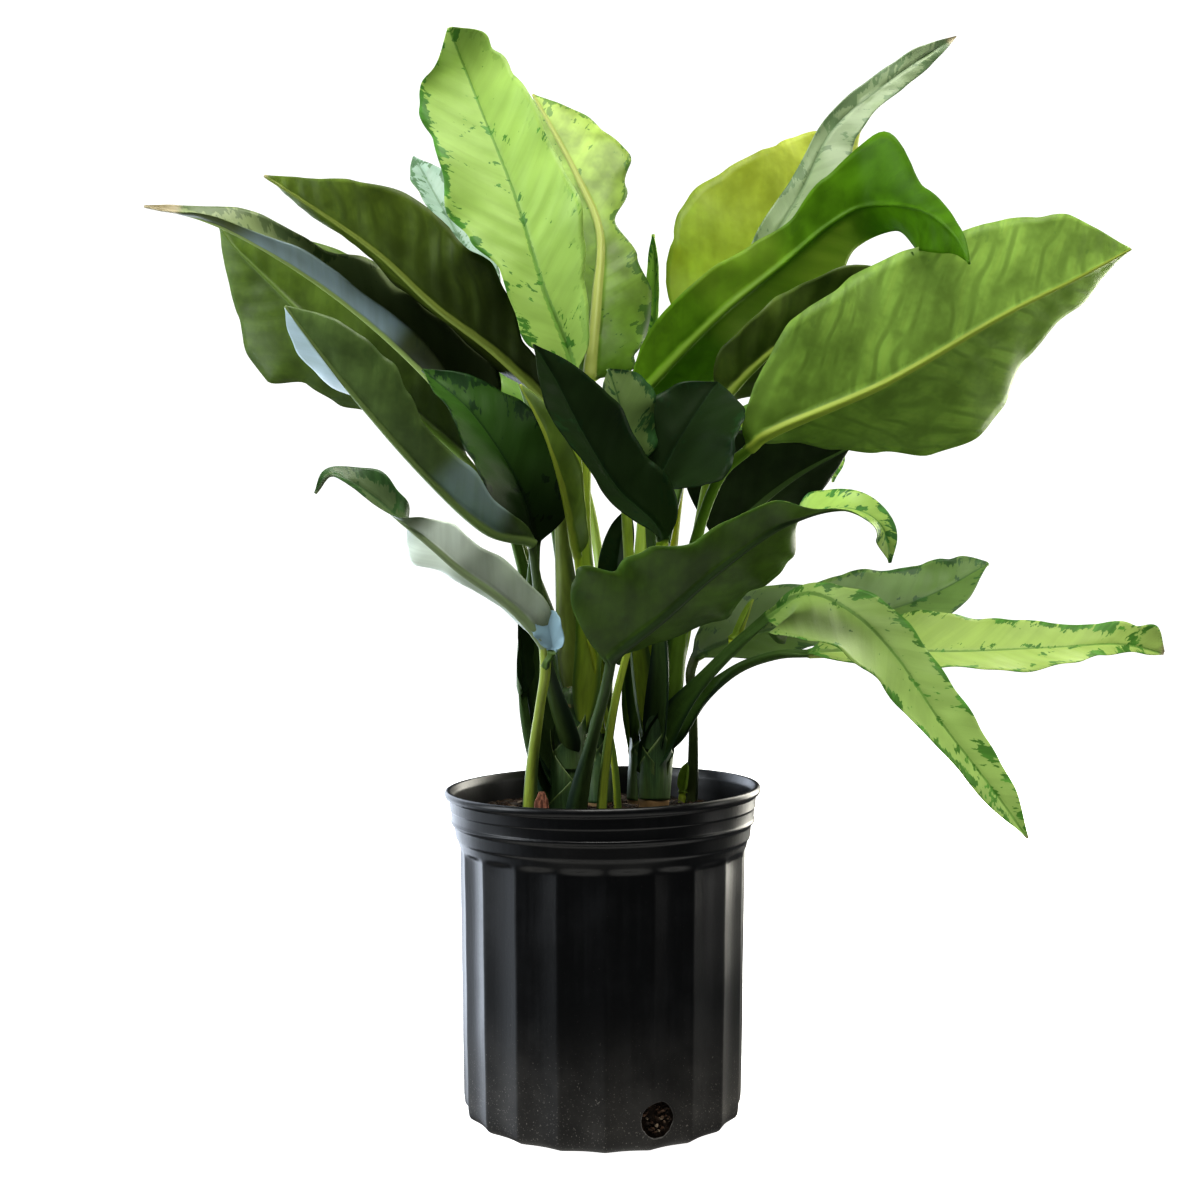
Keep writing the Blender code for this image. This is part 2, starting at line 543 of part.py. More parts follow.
def drain_drill(angle):
    """A round rod that points out of the pot's wall, to cut one drainage hole."""
    out = polar(1.0, math.radians(angle), 0.0)
    side = Vector((-out.y, out.x, 0.0))
    rings = []
    for reach in DRILL_REACH:
        ring = []
        for k in range(HOLE_SIDES):
            turn = 2 * math.pi * k / HOLE_SIDES
            height = Vector((0, 0, HOLE_HEIGHT + HOLE_RADIUS * math.sin(turn)))
            ring.append(out * reach + side * (HOLE_RADIUS * math.cos(turn)) + height)
        rings.append(ring)
    return solid("drill", rings)


def soil():
    """The potting mix, a loose fit in the pot, with an uneven top."""
    foot = BODY_FOOT_RADIUS - WALL - FLUTE_DEPTH - SOIL_SLACK
    top = BODY_TOP_RADIUS - WALL - FLUTE_DEPTH - SOIL_SLACK
    sides = [(FLOOR + SEAT_GAP, foot - 5.2), (FLOOR + 4.2, foot), (189.8, top), (194.0, 99.4),
             (203.0, 100.5)]
    crumbs = [(SOIL_TOP - 3.0, 97.0), (SOIL_TOP - 1.0, 80.0), (SOIL_TOP, 60.0), (SOIL_TOP + 0.5, 38.0),
              (SOIL_TOP, 14.0)]
    rings = []
    for i, (z, r) in enumerate(sides + crumbs):
        ring = []
        for k in range(SOIL_COLUMNS):
            turn = 2 * math.pi * k / SOIL_COLUMNS
            lump = sum(high * math.sin(count * turn + shift * i) for high, count, shift in SOIL_WAVES)
            ring.append(polar(r, turn, z + (lump if i >= len(sides) else 0.0)))
        rings.append(ring)
    return solid("soil", rings, SOIL_MIX)


def cane(name, grow=0.0, finish=None):
    """A round cane, or with grow the room that it takes in the soil and in the leaves."""
    points, radii = CANES[name]
    line = curve(points)
    rings = []
    for share in (0.0, 0.25, 0.5, 0.75, 1.0):
        centre, forward = along(line, share)
        side = Vector((1, 0, 0)).cross(forward).normalized()
        up = forward.cross(side)
        r = blend(radii, share) + grow
        turns = [2 * math.pi * k / CANE_SIDES for k in range(CANE_SIDES)]
        rings.append([centre + side * (r * math.cos(turn)) + up * (r * math.sin(turn)) for turn in turns])
    return solid(name if finish else name + "_room", rings, finish)


def bark_chip(grow=0.0, finish=None):
    """A flat chip that stands in the soil, or with grow the hole that it stands in."""
    turn = math.radians(CHIP_TURN)
    rings = []
    for z, wide, thick in CHIP_SECTIONS:
        wide += grow
        thick += grow
        corners = ((wide, thick), (-wide, thick), (-wide, -thick), (wide, -thick))
        rings.append([Vector((CHIP_PLACE[0] + x * math.cos(turn),
                              CHIP_PLACE[1] + y * (math.sin(turn) + CHIP_SKEW), z - grow))
                      for x, y in corners])
    return solid("bark_chip" if finish else "chip_room", rings, finish)


def main():
    clear_scene()
    pot()
    ground = soil()
    rooms = {}
    for name in CANES:
        cane(name, finish=CANE_SKIN)
        rooms[name] = cane(name, SEAT_GAP)
        cut(ground, rooms[name])
    for leaf in top_leaves() + left_leaves() + middle_leaves() + right_leaves() + back_leaves():
        made = leaf.build()
        if leaf.seat == "soil":
            room = leaf.stalk_cutter()
            cut(ground, room)
            remove(room)
        else:
            cut(made, rooms[leaf.seat])
    bark_chip(finish=BARK)
    room = bark_chip(SEAT_GAP)
    cut(ground, room)
    for spent in [room, *rooms.values()]:
        remove(spent)


main()
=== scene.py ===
"""Potted chinese evergreen: its leaves, canes, soil and nursery pot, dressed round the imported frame.

Lengths are millimetres until a mesh is made. The frame is metres, +Z up, with the origin under the
middle of the pot, +X to the right of the photograph's view and +Y away from its camera.
"""
from __future__ import annotations

import logging
import math
from dataclasses import dataclass, replace
from enum import Enum
from itertools import combinations
from typing import Optional, Sequence, Union

import bpy
import numpy as np
from mathutils import Matrix, Vector, noise


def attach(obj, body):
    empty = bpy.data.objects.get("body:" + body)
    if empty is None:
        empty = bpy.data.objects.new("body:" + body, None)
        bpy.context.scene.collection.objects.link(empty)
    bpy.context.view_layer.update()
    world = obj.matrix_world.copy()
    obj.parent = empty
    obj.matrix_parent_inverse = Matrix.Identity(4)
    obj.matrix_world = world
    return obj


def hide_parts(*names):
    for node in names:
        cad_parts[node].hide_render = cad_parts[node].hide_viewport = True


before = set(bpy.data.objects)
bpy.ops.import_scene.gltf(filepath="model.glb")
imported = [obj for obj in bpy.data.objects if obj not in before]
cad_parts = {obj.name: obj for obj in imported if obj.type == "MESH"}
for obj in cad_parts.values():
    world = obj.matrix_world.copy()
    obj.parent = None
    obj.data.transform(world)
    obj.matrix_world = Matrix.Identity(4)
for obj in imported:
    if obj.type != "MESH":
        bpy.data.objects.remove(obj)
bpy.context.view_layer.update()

logging.basicConfig(level=logging.INFO, format="%(message)s")
LOG = logging.getLogger("evergreen")

MM = 0.001
BODY = "root"

Number = Union[int, float]
Color = tuple[float, float, float]
Point = tuple[float, float, float]
Pair = tuple[float, float]
Amount = Union[Number, list]
Amounts = Union[float, np.ndarray]
Face = tuple[int, ...]

WHITE = (1.0, 1.0, 1.0)


class Slot(Enum):
    """The record's material slots."""

    POT = "pot_plastic"
    SOIL = "soil_mix"
    BARK = "bark"
    CANE = "cane_skin"
    LIGHT = "leaf_light"
    MID = "leaf_mid"
    DARK = "leaf_dark"
    YELLOW = "leaf_yellow"


def scaled(color: Color, factor: float) -> Color:
    """A colour made darker or lighter by a factor."""
    return tuple(part * factor for part in color)


class Sock:
    """A node's output that Python's operators can work on.

    Values go through Math nodes, vectors through Vector Math and colours through Mix nodes.
    """

    def __init__(self, graph: "Graph", socket: bpy.types.NodeSocket) -> None:
        """Keeps the graph and the output socket."""
        self.graph = graph
        self.socket = socket

    def work(self, operation: str, first: "Feed", second: "Feed") -> "Sock":
        """Adds the node that does one sum.

        Args:
            operation: Blender's name of the sum.
            first: what stands before the operator.
            second: what stands after it.

        Returns:
            The sum's output.
        """
        kinds = {each.socket.type for each in (first, second) if isinstance(each, Sock)}
        if "RGBA" in kinds:
            settings = {"data_type": "RGBA", "blend_type": operation}
            return self.graph.node("ShaderNodeMix", settings, {0: 1.0, 6: first, 7: second}, output=2)
        kind = "ShaderNodeVectorMath" if "VECTOR" in kinds else "ShaderNodeMath"
        return self.graph.node(kind, {"operation": operation}, {0: first, 1: second})

    def __add__(self, other: "Feed") -> "Sock":
        """self + other."""
        return self.work("ADD", self, other)

    def __radd__(self, other: "Feed") -> "Sock":
        """other + self."""
        return self.work("ADD", other, self)

    def __sub__(self, other: "Feed") -> "Sock":
        """self - other."""
        return self.work("SUBTRACT", self, other)

    def __rsub__(self, other: "Feed") -> "Sock":
        """other - self."""
        return self.work("SUBTRACT", other, self)

    def __mul__(self, other: "Feed") -> "Sock":
        """self * other."""
        return self.work("MULTIPLY", self, other)

    def __rmul__(self, other: "Feed") -> "Sock":
        """other * self."""
        return self.work("MULTIPLY", other, self)

    def __truediv__(self, other: "Feed") -> "Sock":
        """self / other."""
        return self.work("DIVIDE", self, other)

    def __rtruediv__(self, other: "Feed") -> "Sock":
        """other / self."""
        return self.work("DIVIDE", other, self)

    def __pow__(self, other: Number) -> "Sock":
        """self ** other, for values."""
        return self.work("POWER", self, other)

    def __abs__(self) -> "Sock":
        """abs(self), for values."""
        return self.graph.node("ShaderNodeMath", {"operation": "ABSOLUTE"}, {0: self})

    def sine(self) -> "Sock":
        """The sine of a value."""
        return self.graph.node("ShaderNodeMath", {"operation": "SINE"}, {0: self})

    def most(self, other: "Feed") -> "Sock":
        """The larger of two values."""
        return self.work("MAXIMUM", self, other)

    def smooth(self, low: "Feed", high: "Feed") -> "Sock":
        """A smooth step from 0 at low to 1 at high, or the other way round where low is larger."""
        return self.graph.node("ShaderNodeMapRange", {"interpolation_type": "SMOOTHSTEP"},
                               {0: self, 1: low, 2: high, 3: 0.0, 4: 1.0})

    def parts(self) -> list["Sock"]:
        """The three parts of a vector."""
        first = self.graph.node("ShaderNodeSeparateXYZ", inputs={0: self})
        return [Sock(self.graph, out) for out in first.socket.node.outputs]


Feed = Union[Sock, Number, Sequence[float]]


class Graph:
    """The node tree of one material, or of the world."""

    def __init__(self, name: str, world: bool = False) -> None:
        """Makes a material, or a world, that holds nothing but its output node."""
        self.owner = (bpy.data.worlds if world else bpy.data.materials).new(name)
        self.owner.use_nodes = True
        self.tree = self.owner.node_tree
        self.tree.nodes.clear()
        self.end = self.tree.nodes.new("ShaderNodeOutputWorld" if world else "ShaderNodeOutputMaterial")

    def feed(self, socket: bpy.types.NodeSocket, value: Feed) -> None:
        """Links a socket, or sets its own value.

        Args:
            socket: the input.
            value: an output to link, a number, or a vector or colour.
        """
        if isinstance(value, Sock):
            self.tree.links.new(value.socket, socket)
        elif socket.type == "RGBA":
            parts = (value, value, value) if isinstance(value, (int, float)) else value
            socket.default_value = (*parts[:3], 1.0)
        elif socket.type == "VECTOR" and isinstance(value, (int, float)):
            socket.default_value = (value, value, value)
        else:
            socket.default_value = value

    def node(self, kind: str, settings: Optional[dict] = None, inputs: Optional[dict] = None,
             output: Union[int, str] = 0) -> Sock:
        """Adds one node.

        Args:
            kind: the node's type.
            settings: its own settings, such as an operation, set before the sockets.
            inputs: values or links by the sockets' names or numbers.
            output: the output to hand back.

        Returns:
            The chosen output.
        """
        made = self.tree.nodes.new(kind)
        for key, value in (settings or {}).items():
            setattr(made, key, value)
        for key, value in (inputs or {}).items():
            self.feed(made.inputs[key], value)
        return Sock(self, made.outputs[output])

    def attribute(self, name: str, output: str = "Vector") -> Sock:
        """A named attribute of the mesh."""
        return self.node("ShaderNodeAttribute", {"attribute_name": name}, output=output)

    def object_place(self) -> Sock:
        """The place on the object, in metres."""
        return self.node("ShaderNodeTexCoord", output="Object")

    def vector(self, x: Feed, y: Feed, z: Feed) -> Sock:
        """A vector of three values."""
        return self.node("ShaderNodeCombineXYZ", inputs={0: x, 1: y, 2: z})

    def noise(self, place: Sock, scale: float, detail: float = 2.0, rough: float = 0.5,
              twist: float = 0.0) -> Sock:
        """A noise value round one half.

        Args:
            place: where it is read, in metres.
            scale: how many of its grains there are in a metre.
            detail: how many finer layers it has.
            rough: how strong the finer layers are.
            twist: how much it is warped.

        Returns:
            The noise's value.
        """
        return self.node("ShaderNodeTexNoise", {"noise_dimensions": "3D"},
                         {"Vector": place, "Scale": scale, "Detail": detail, "Roughness": rough,
                          "Distortion": twist})

    def mix(self, factor: Feed, first: Feed, second: Feed) -> Sock:
        """A colour between two others."""
        inputs = {0: factor, 6: first, 7: second}
        return self.node("ShaderNodeMix", {"data_type": "RGBA"}, inputs, output=2)

    def bump(self, height: Sock, depth_mm: float, strength: float = 1.0) -> Sock:
        """A normal that is tilted by a height of so many millimetres."""
        return self.node("ShaderNodeBump", inputs={"Height": height, "Distance": depth_mm * MM,
                                                   "Strength": strength})

    def shader(self, color: Feed, rough: Feed, shine: float, **others: Feed) -> Sock:
        """The main shader.

        Args:
            color: its colour.
            rough: its roughness.
            shine: the strength of its reflections.
            others: its other sockets by name, with a line for each space.

        Returns:
            The shader's output.
        """
        inputs = {"Base Color": color, "Roughness": rough, "Specular IOR Level": shine}
        inputs.update({name.replace("_", " "): value for name, value in others.items()})
        return self.node("ShaderNodeBsdfPrincipled", inputs=inputs)

    def blended(self, share: Feed, first: Sock, second: Sock) -> Sock:
        """A shader between two others."""
        return self.node("ShaderNodeMixShader", inputs={0: share, 1: first, 2: second})

    def for_camera(self, others: Sock, camera: Sock) -> Sock:
        """One shader for what the camera sees directly, and another for all other light."""
        return self.blended(self.node("ShaderNodeLightPath", output="Is Camera Ray"), others, camera)

    def finish(self, surface: Sock) -> bpy.types.ID:
        """Ends the tree in a shader and hands the material or the world back."""
        self.tree.links.new(surface.socket, self.end.inputs["Surface"])
        return self.owner


def smooth_line(points: Sequence[Point], per_span: int) -> np.ndarray:
    """A smooth line through all the points.

    Args:
        points: places that the line passes through.
        per_span: steps between two of them.

    Returns:
        The line's places, one a row.
    """
    knots = np.array(points, float)
    knots = np.vstack([2 * knots[0] - knots[1], knots, 2 * knots[-1] - knots[-2]])
    share = np.arange(per_span)[:, None] / per_span
    spans = []
    for a, b, c, d in zip(knots, knots[1:], knots[2:], knots[3:]):
        spans.append(0.5 * (2 * b + (c - a) * share + (2 * a - 5 * b + 4 * c - d) * share ** 2
                            + (3 * b - a - 3 * c + d) * share ** 3))
    return np.vstack([*spans, knots[-2]])


def along_line(line: np.ndarray, shares: np.ndarray) -> tuple[np.ndarray, np.ndarray, float]:
    """Reads a line at shares of its length.

    Args:
        line: its places.
        shares: where it is read, from 0 to 1.

    Returns:
        The places, the directions there, and the line's length.
    """
    steps = np.linalg.norm(np.diff(line, axis=0), axis=1)
    lengths = np.concatenate([[0.0], np.cumsum(steps)])
    goal = shares * lengths[-1]
    places = np.stack([np.interp(goal, lengths, line[:, k]) for k in range(3)], axis=1)
    slopes = np.gradient(line, lengths, axis=0)
    ahead = np.stack([np.interp(goal, lengths, slopes[:, k]) for k in range(3)], axis=1)
    return places, ahead / np.linalg.norm(ahead, axis=1)[:, None], float(lengths[-1])


def blend(values: Amount, shares: np.ndarray) -> np.ndarray:
    """Runs through evenly spaced values with soft turns.

    Args:
        values: a number, or a list of numbers or vectors.
        shares: where they are read, from 0 to 1.

    Returns:
        One value, or one vector, for each share.
    """
    table = np.array(values if isinstance(values, list) else [values], float)
    if len(table) == 1:
        table = np.repeat(table, 2, axis=0)
    at = np.clip(shares, 0.0, 1.0) * (len(table) - 1)
    low = np.minimum(at.astype(int), len(table) - 2)
    part = at - low
    part = part * part * (3 - 2 * part)
    if table.ndim > 1:
        part = part[:, None]
    return table[low] + (table[low + 1] - table[low]) * part


def around(count: int) -> np.ndarray:
    """The turns of evenly spaced points round a full circle."""
    return 2 * math.pi * np.arange(count) / count


def step_up(values: np.ndarray, low: float, high: float) -> np.ndarray:
    """A smooth step from 0 at low to 1 at high."""
    part = np.clip((values - low) / (high - low), 0.0, 1.0)
    return part * part * (3 - 2 * part)


def grain(places: np.ndarray, cell: float, seed: float) -> np.ndarray:
    """Smooth noise from about -1 to 1, with grains of one size.

    Args:
        places: where it is read, one place a row.
        cell: the size of a grain in the places' own units.
        seed: a shift that gives another pattern.

    Returns:
        One value for each place.
    """
    return np.array([noise.noise(Vector(p) / cell + Vector((seed, -seed, 0.5 * seed))) for p in places])


def beside(middle: np.ndarray, side: np.ndarray, up: np.ndarray, out: np.ndarray,
           rise: np.ndarray) -> np.ndarray:
    """Rings of places round a line's points, from how far out and up they lie there."""
    return middle[:, None] + side[:, None] * out[..., None] + up[:, None] * rise[..., None]


def loft_faces(rings: int, count: int) -> list[Face]:
    """The faces of a body lofted through closed rings, capped at both ends.

    Args:
        rings: how many rings there are.
        count: points in a ring.

    Returns:
        The faces as point numbers.
    """
    starts = (np.arange(rings - 1) * count)[:, None]
    here = np.arange(count)[None, :]
    after = (here + 1) % count
    edge = [starts + here, starts + after]
    quads = np.stack([*edge, edge[1] + count, edge[0] + count], axis=2)
    faces = [tuple(quad) for quad in quads.reshape(-1, 4).tolist()]
    last = (rings - 1) * count
    return faces + [tuple(reversed(range(count))), tuple(range(last, last + count))]


class Piece:
    """A mesh object that rides on the frame."""

    def __init__(self, name: str, places: np.ndarray, faces: list, smooth: bool = True) -> None:
        """Makes the mesh.

        Args:
            name: the piece's name.
            places: its points in millimetres, one a row.
            faces: its faces as point numbers.
            smooth: whether its faces are shaded as one curved surface.
        """
        mesh = bpy.data.meshes.new(name)
        mesh.from_pydata((np.asarray(places, float) * MM).tolist(), [], faces)
        mesh.validate()
        self.thing = bpy.data.objects.new(name, mesh)
        bpy.context.scene.collection.objects.link(self.thing)
        if smooth:
            mesh.shade_smooth()

    @classmethod
    def lofted(cls, name: str, rings: np.ndarray) -> "Piece":
        """Makes a closed body through rings of points."""
        return cls(name, rings.reshape(-1, 3), loft_faces(*rings.shape[:2]))

    def attribute(self, name: str, values: np.ndarray) -> "Piece":
        """Stores a number or a vector for each point, for the finish to read."""
        kind, field = ("FLOAT", "value") if values.ndim == 1 else ("FLOAT_VECTOR", "vector")
        layer = self.thing.data.attributes.new(name, kind, "POINT")
        layer.data.foreach_set(field, values.astype(np.float32).ravel())
        return self

    def dress(self, finish: bpy.types.Material, slot: Slot) -> "Piece":
        """Gives the piece its finish."""
        self.thing.data.materials.append(finish)
        return self

    def settle(self, *nodes: str) -> "Piece":
        """Rides the piece on the frame in place of the named nodes, and reports it."""
        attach(self.thing, BODY)
        if nodes:
            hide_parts(*nodes)
        LOG.info("%-26s %6d faces, stands for %s", self.thing.name, len(self.thing.data.polygons),
                 ", ".join(nodes) or "no node")
        return self


class Heap:
    """Many bits that become one mesh, with their marks for the finish."""

    def __init__(self, *marks: str) -> None:
        """Starts empty, with the names of the marks."""
        self.places: list[np.ndarray] = []
        self.faces: list[Face] = []
        self.marks: dict[str, list[np.ndarray]] = {mark: [] for mark in marks}

    def add(self, places: np.ndarray, faces: list[Face], **marks: Amounts) -> None:
        """Adds one bit.

        Args:
            places: its points in millimetres.
            faces: its faces, as numbers of its own points.
            marks: a number for each mark, or one for each point.
        """
        start = sum(len(each) for each in self.places)
        self.places.append(places)
        self.faces += [tuple(start + number for number in face) for face in faces]
        for mark, values in marks.items():
            self.marks[mark].append(np.broadcast_to(values, len(places)))

    def piece(self, name: str, smooth: bool = True) -> Piece:
        """Makes the mesh with its marks."""
        piece = Piece(name, np.concatenate(self.places), self.faces, smooth)
        for mark, values in self.marks.items():
            piece.attribute(mark, np.concatenate(values))
        return piece


class LeafReading:
    """What a leaf's finish reads: the place on the leaf, and the noises that follow its side veins.

    share runs from 0 to 1 along the blade and is below 0 on the stalk, half from -1 to 1 across it,
    and upper is 1 on the upper side. along, across, inset and wide are metres along the blade, across
    it with the side's sign, in from the margin and across it without a sign.
    """

    VEIN_SPACING = 0.0185
    VEIN_SLANT = 0.78
    VEIN_BEND = 4.0

    def __init__(self, graph: Graph, seed: float, ribs: float) -> None:
        """Reads the mesh.

        Args:
            graph: the material's nodes.
            seed: which of the patterns the leaf has.
            ribs: how strongly its side veins show.
        """
        self.graph = graph
        self.seed = seed
        self.share, self.half, self.upper = graph.attribute("leaf_share").parts()
        self.place = graph.attribute("leaf_place")
        self.along, self.across, self.inset = self.place.parts()
        self.wide = abs(self.across)
        self.cloud = self.blotches(3.0, 42.0, 3.0, 0.6)
        slow = self.blotches(5.0, 22.0, 1.0)
        slant = self.along - self.wide * self.VEIN_SLANT - self.wide * self.wide * self.VEIN_BEND
        self.streaks = graph.noise(graph.vector(slant, self.wide * 0.13, seed), 105.0, 3.0, 0.6, 0.2)
        wave = ((slant / self.VEIN_SPACING + slow * 2.2) * (2 * math.pi)).sine()
        self.vein = wave * self.cloud.smooth(0.35, 0.62) * ribs

    def blotches(self, shift: float, *settings: float) -> Sock:
        """A noise over the leaf, its pattern shifted from those of the others."""
        return self.graph.noise(self.graph.vector(self.along, self.across, self.seed + shift), *settings)


@dataclass(frozen=True)
class LeafFinish:
    """The colours and gloss of one leaf.

    upper is the light field of the upper side, margin the dark green of its edge, rib and blotches,
    under the underside, rib the pale rib there, stalk the stalk, and glow the light that passes
    through. spots is how strong the blotches are, show how much of them comes through to the
    underside, glow_share how much light passes, gloss the roughness, shine the strength of the
    reflections, tone_and_shade a factor or colour at the base and one at the tip, partly the leaf's
    own tone and partly painted shade that darkens the base in the plant's shaded middle, and dry
    where the tip turns brown. bands are stretches of painted light, each with its half (1, -1, or 0
    for both), start, end and strength, and painted_light_color their colour: mostly a painted
    silvery sheen of the window light, in one leaf a painted lighter stretch where the blade lies in
    shade. margins is how strong the dark margin is on either half, and rib_end where the pale rib
    has faded out, as a share of the blade.
    """

    upper: Color
    margin: Color
    under: Color
    rib: Color
    stalk: Color
    glow: Color
    glow_share: float = 0.3
    spots: float = 1.0
    show: float = 0.3
    gloss: float = 0.45
    shine: float = 0.28
    tone_and_shade: tuple = (1.0, 1.0)
    dry: float = 1.2
    bands: tuple = ()
    margins: tuple = (1.0, 1.0)
    rib_end: float = 1.5
    painted_light_color: Color = (0.42, 0.52, 0.56)

    CLUMP_SCALES = ((9.0, 58.0), (17.0, 70.0), (26.0, 64.0))
    DRY_TIP = (0.42, 0.36, 0.22)
    WING_TONE = (0.16, 0.25, 0.6)
    FINE_RIB = 0.0007
    BASE_RIB = 0.0026
    BUMP_DEPTH = 0.35

    def markings(self, leaf: LeafReading) -> Sock:
        """The mask of the dark green: a broken margin, blotches by the rib and a few strays."""
        wide = leaf.wide
        slanted = leaf.graph.vector(leaf.along - wide * leaf.VEIN_SLANT, leaf.across * 0.55, leaf.seed)
        fine = (leaf.graph.noise(slanted, 250.0, 3.0, 0.62, 0.3) - 0.5) * 1.5
        clumps = [(leaf.blotches(shift, scale, 2.0, 0.5, 0.4) - 0.5) * 2.1
                  for shift, scale in self.CLUMP_SCALES]
        plus, minus = self.margins
        edge = (clumps[0] + fine + 0.10 - leaf.inset * 46.0).smooth(-0.03, 0.05)
        edge = edge * (leaf.half.smooth(-0.05, 0.05) * (plus - minus) + minus)
        by_rib = (clumps[1] + fine - 0.19 - wide * 36.0).smooth(-0.02, 0.05)
        strays = (clumps[2] + fine).smooth(0.47, 0.53)
        line = (wide / (0.0009 + (1.0 - leaf.share) ** 3 * 0.0022) + fine).smooth(1.1, 0.7)
        return edge.most(by_rib).most(strays).most(line * 0.6) * self.spots

    def upper_side(self, leaf: LeafReading, dark: Sock) -> Sock:
        """The colour of the variegated upper side, from the mask of its dark green, with painted shade
        in the creases along its side veins.
        """
        mix = leaf.graph.mix
        field = mix(leaf.streaks.smooth(0.38, 0.66) * 0.42, self.upper, scaled(self.upper, 0.72))
        field = mix(leaf.cloud.smooth(0.4, 0.75) * 0.3, field, scaled(self.upper, 0.66))
        # Painted shade: darker bands along the side-vein creases.
        field = mix(leaf.vein.smooth(0.3, 1.0) * 0.3, field, scaled(self.upper, 0.6))
        green = mix(leaf.streaks.smooth(0.4, 0.7), self.margin, scaled(self.margin, 1.7))
        return mix(dark, field, green)

    def under_side(self, leaf: LeafReading, dark: Sock) -> Sock:
        """The colour of the plainer underside, from the mask of the upper side's dark green, with
        painted shade in the creases between its side veins.
        """
        mix = leaf.graph.mix
        base = mix(leaf.cloud.smooth(0.28, 0.72), scaled(self.under, 0.64), scaled(self.under, 1.3))
        base = mix(leaf.streaks.smooth(0.38, 0.68) * 0.3, base, scaled(self.under, 0.6))
        # Painted shade: dark bands in the creases between the side veins.
        base = mix(leaf.vein.smooth(0.1, 0.9) * 0.55, base, scaled(self.under, 0.42))
        base = mix(leaf.vein.smooth(-0.4, -0.95) * 0.1, base, self.rib)
        return mix(dark * self.show, base, self.margin)

    def add_painted_light(self, leaf: LeafReading, color: Sock) -> Sock:
        """Adds the bands of painted light, mostly a painted silvery sheen, to the blade's colour."""
        # Painted light: each band lays a painted sheen, or a painted lighter stretch, onto the blade.
        for side, start, end, strength in self.bands:
            mask = leaf.share.smooth(start, start + 0.08) * leaf.share.smooth(end, end - 0.08)
            if side:
                mask = mask * (leaf.half * side).smooth(0.0, 0.2)
            mask = mask * (leaf.streaks.smooth(0.3, 0.7) * 0.2 + 0.8)
            color = leaf.graph.mix(mask * strength, color, self.painted_light_color)
        return color

    def blade_color(self, leaf: LeafReading, dark: Sock, rib_size: float) -> Sock:
        """The blade's colour with its rib, its dry tip, painted shade towards its base and its stretches
        of painted light.
        """
        mix = leaf.graph.mix
        color = mix(leaf.upper, self.under_side(leaf, dark), self.upper_side(leaf, dark))
        # Painted shade: tone_and_shade darkens the base where the plant's middle lies in shade, besides
        # the leaf's own tone.
        color = self.add_painted_light(leaf, color * mix(leaf.share.smooth(0.0, 1.0), *self.tone_and_shade))
        rib_edge = ((1.0 - leaf.share) * self.BASE_RIB + self.FINE_RIB) * rib_size
        rib = (leaf.wide / rib_edge).smooth(1.25, 0.8) * (1.0 - leaf.upper)
        color = mix(rib * leaf.share.smooth(self.rib_end, self.rib_end - 0.2), color, self.rib)
        dried = (leaf.share + (leaf.streaks - 0.5) * 0.02).smooth(self.dry, self.dry + 0.02)
        return mix(dried, color, self.DRY_TIP)

    def stalk_color(self, leaf: LeafReading) -> Sock:
        """The stalk's colour, with fine lengthwise fibres and greener wings."""
        drawn_out = leaf.graph.vector(leaf.along * 0.08, leaf.across, leaf.seed)
        fibre = leaf.graph.noise(drawn_out, 900.0, 2.0)
        color = leaf.graph.mix(fibre.smooth(0.35, 0.7) * 0.5, self.stalk, scaled(self.stalk, 0.6))
        wing = leaf.wide.smooth(0.0018, 0.0042) * leaf.share.smooth(-0.36, -0.6)
        green = tuple(part * factor for part, factor in zip(self.stalk, self.WING_TONE))
        return leaf.graph.mix(wing * 0.85, color, green)

    def build(self, name: str, seed: float, ribs: float, rib_size: float) -> bpy.types.Material:
        """Makes the material of one leaf.

        Args:
            name: the material's name.
            seed: which of its patterns the leaf has.
            ribs: how strongly its side veins show.
            rib_size: how thick its rib is beside the others'.

        Returns:
            The material.
        """
        graph = Graph(name)
        leaf = LeafReading(graph, seed, ribs)
        dark = self.markings(leaf)
        color = graph.mix(leaf.share.smooth(0.004, -0.02), self.blade_color(leaf, dark, rib_size),
                          self.stalk_color(leaf))
        pores = graph.noise(leaf.place, 1400.0, 2.0, 0.6)
        height = pores * 0.35 + leaf.vein.smooth(0.4, 1.0) * 0.5 + leaf.cloud * 0.8 + leaf.streaks * 0.9
        rough = pores * 0.10 + leaf.cloud * 0.12 + (self.gloss - 0.11)
        normal = graph.bump(height, self.BUMP_DEPTH, 0.6)
        surface = graph.shader(color, rough, self.shine, Normal=normal)
        through = graph.node("ShaderNodeBsdfTranslucent", inputs={"Color": self.glow})
        return graph.finish(graph.blended((1.0 - dark * 0.5) * self.glow_share, surface, through))


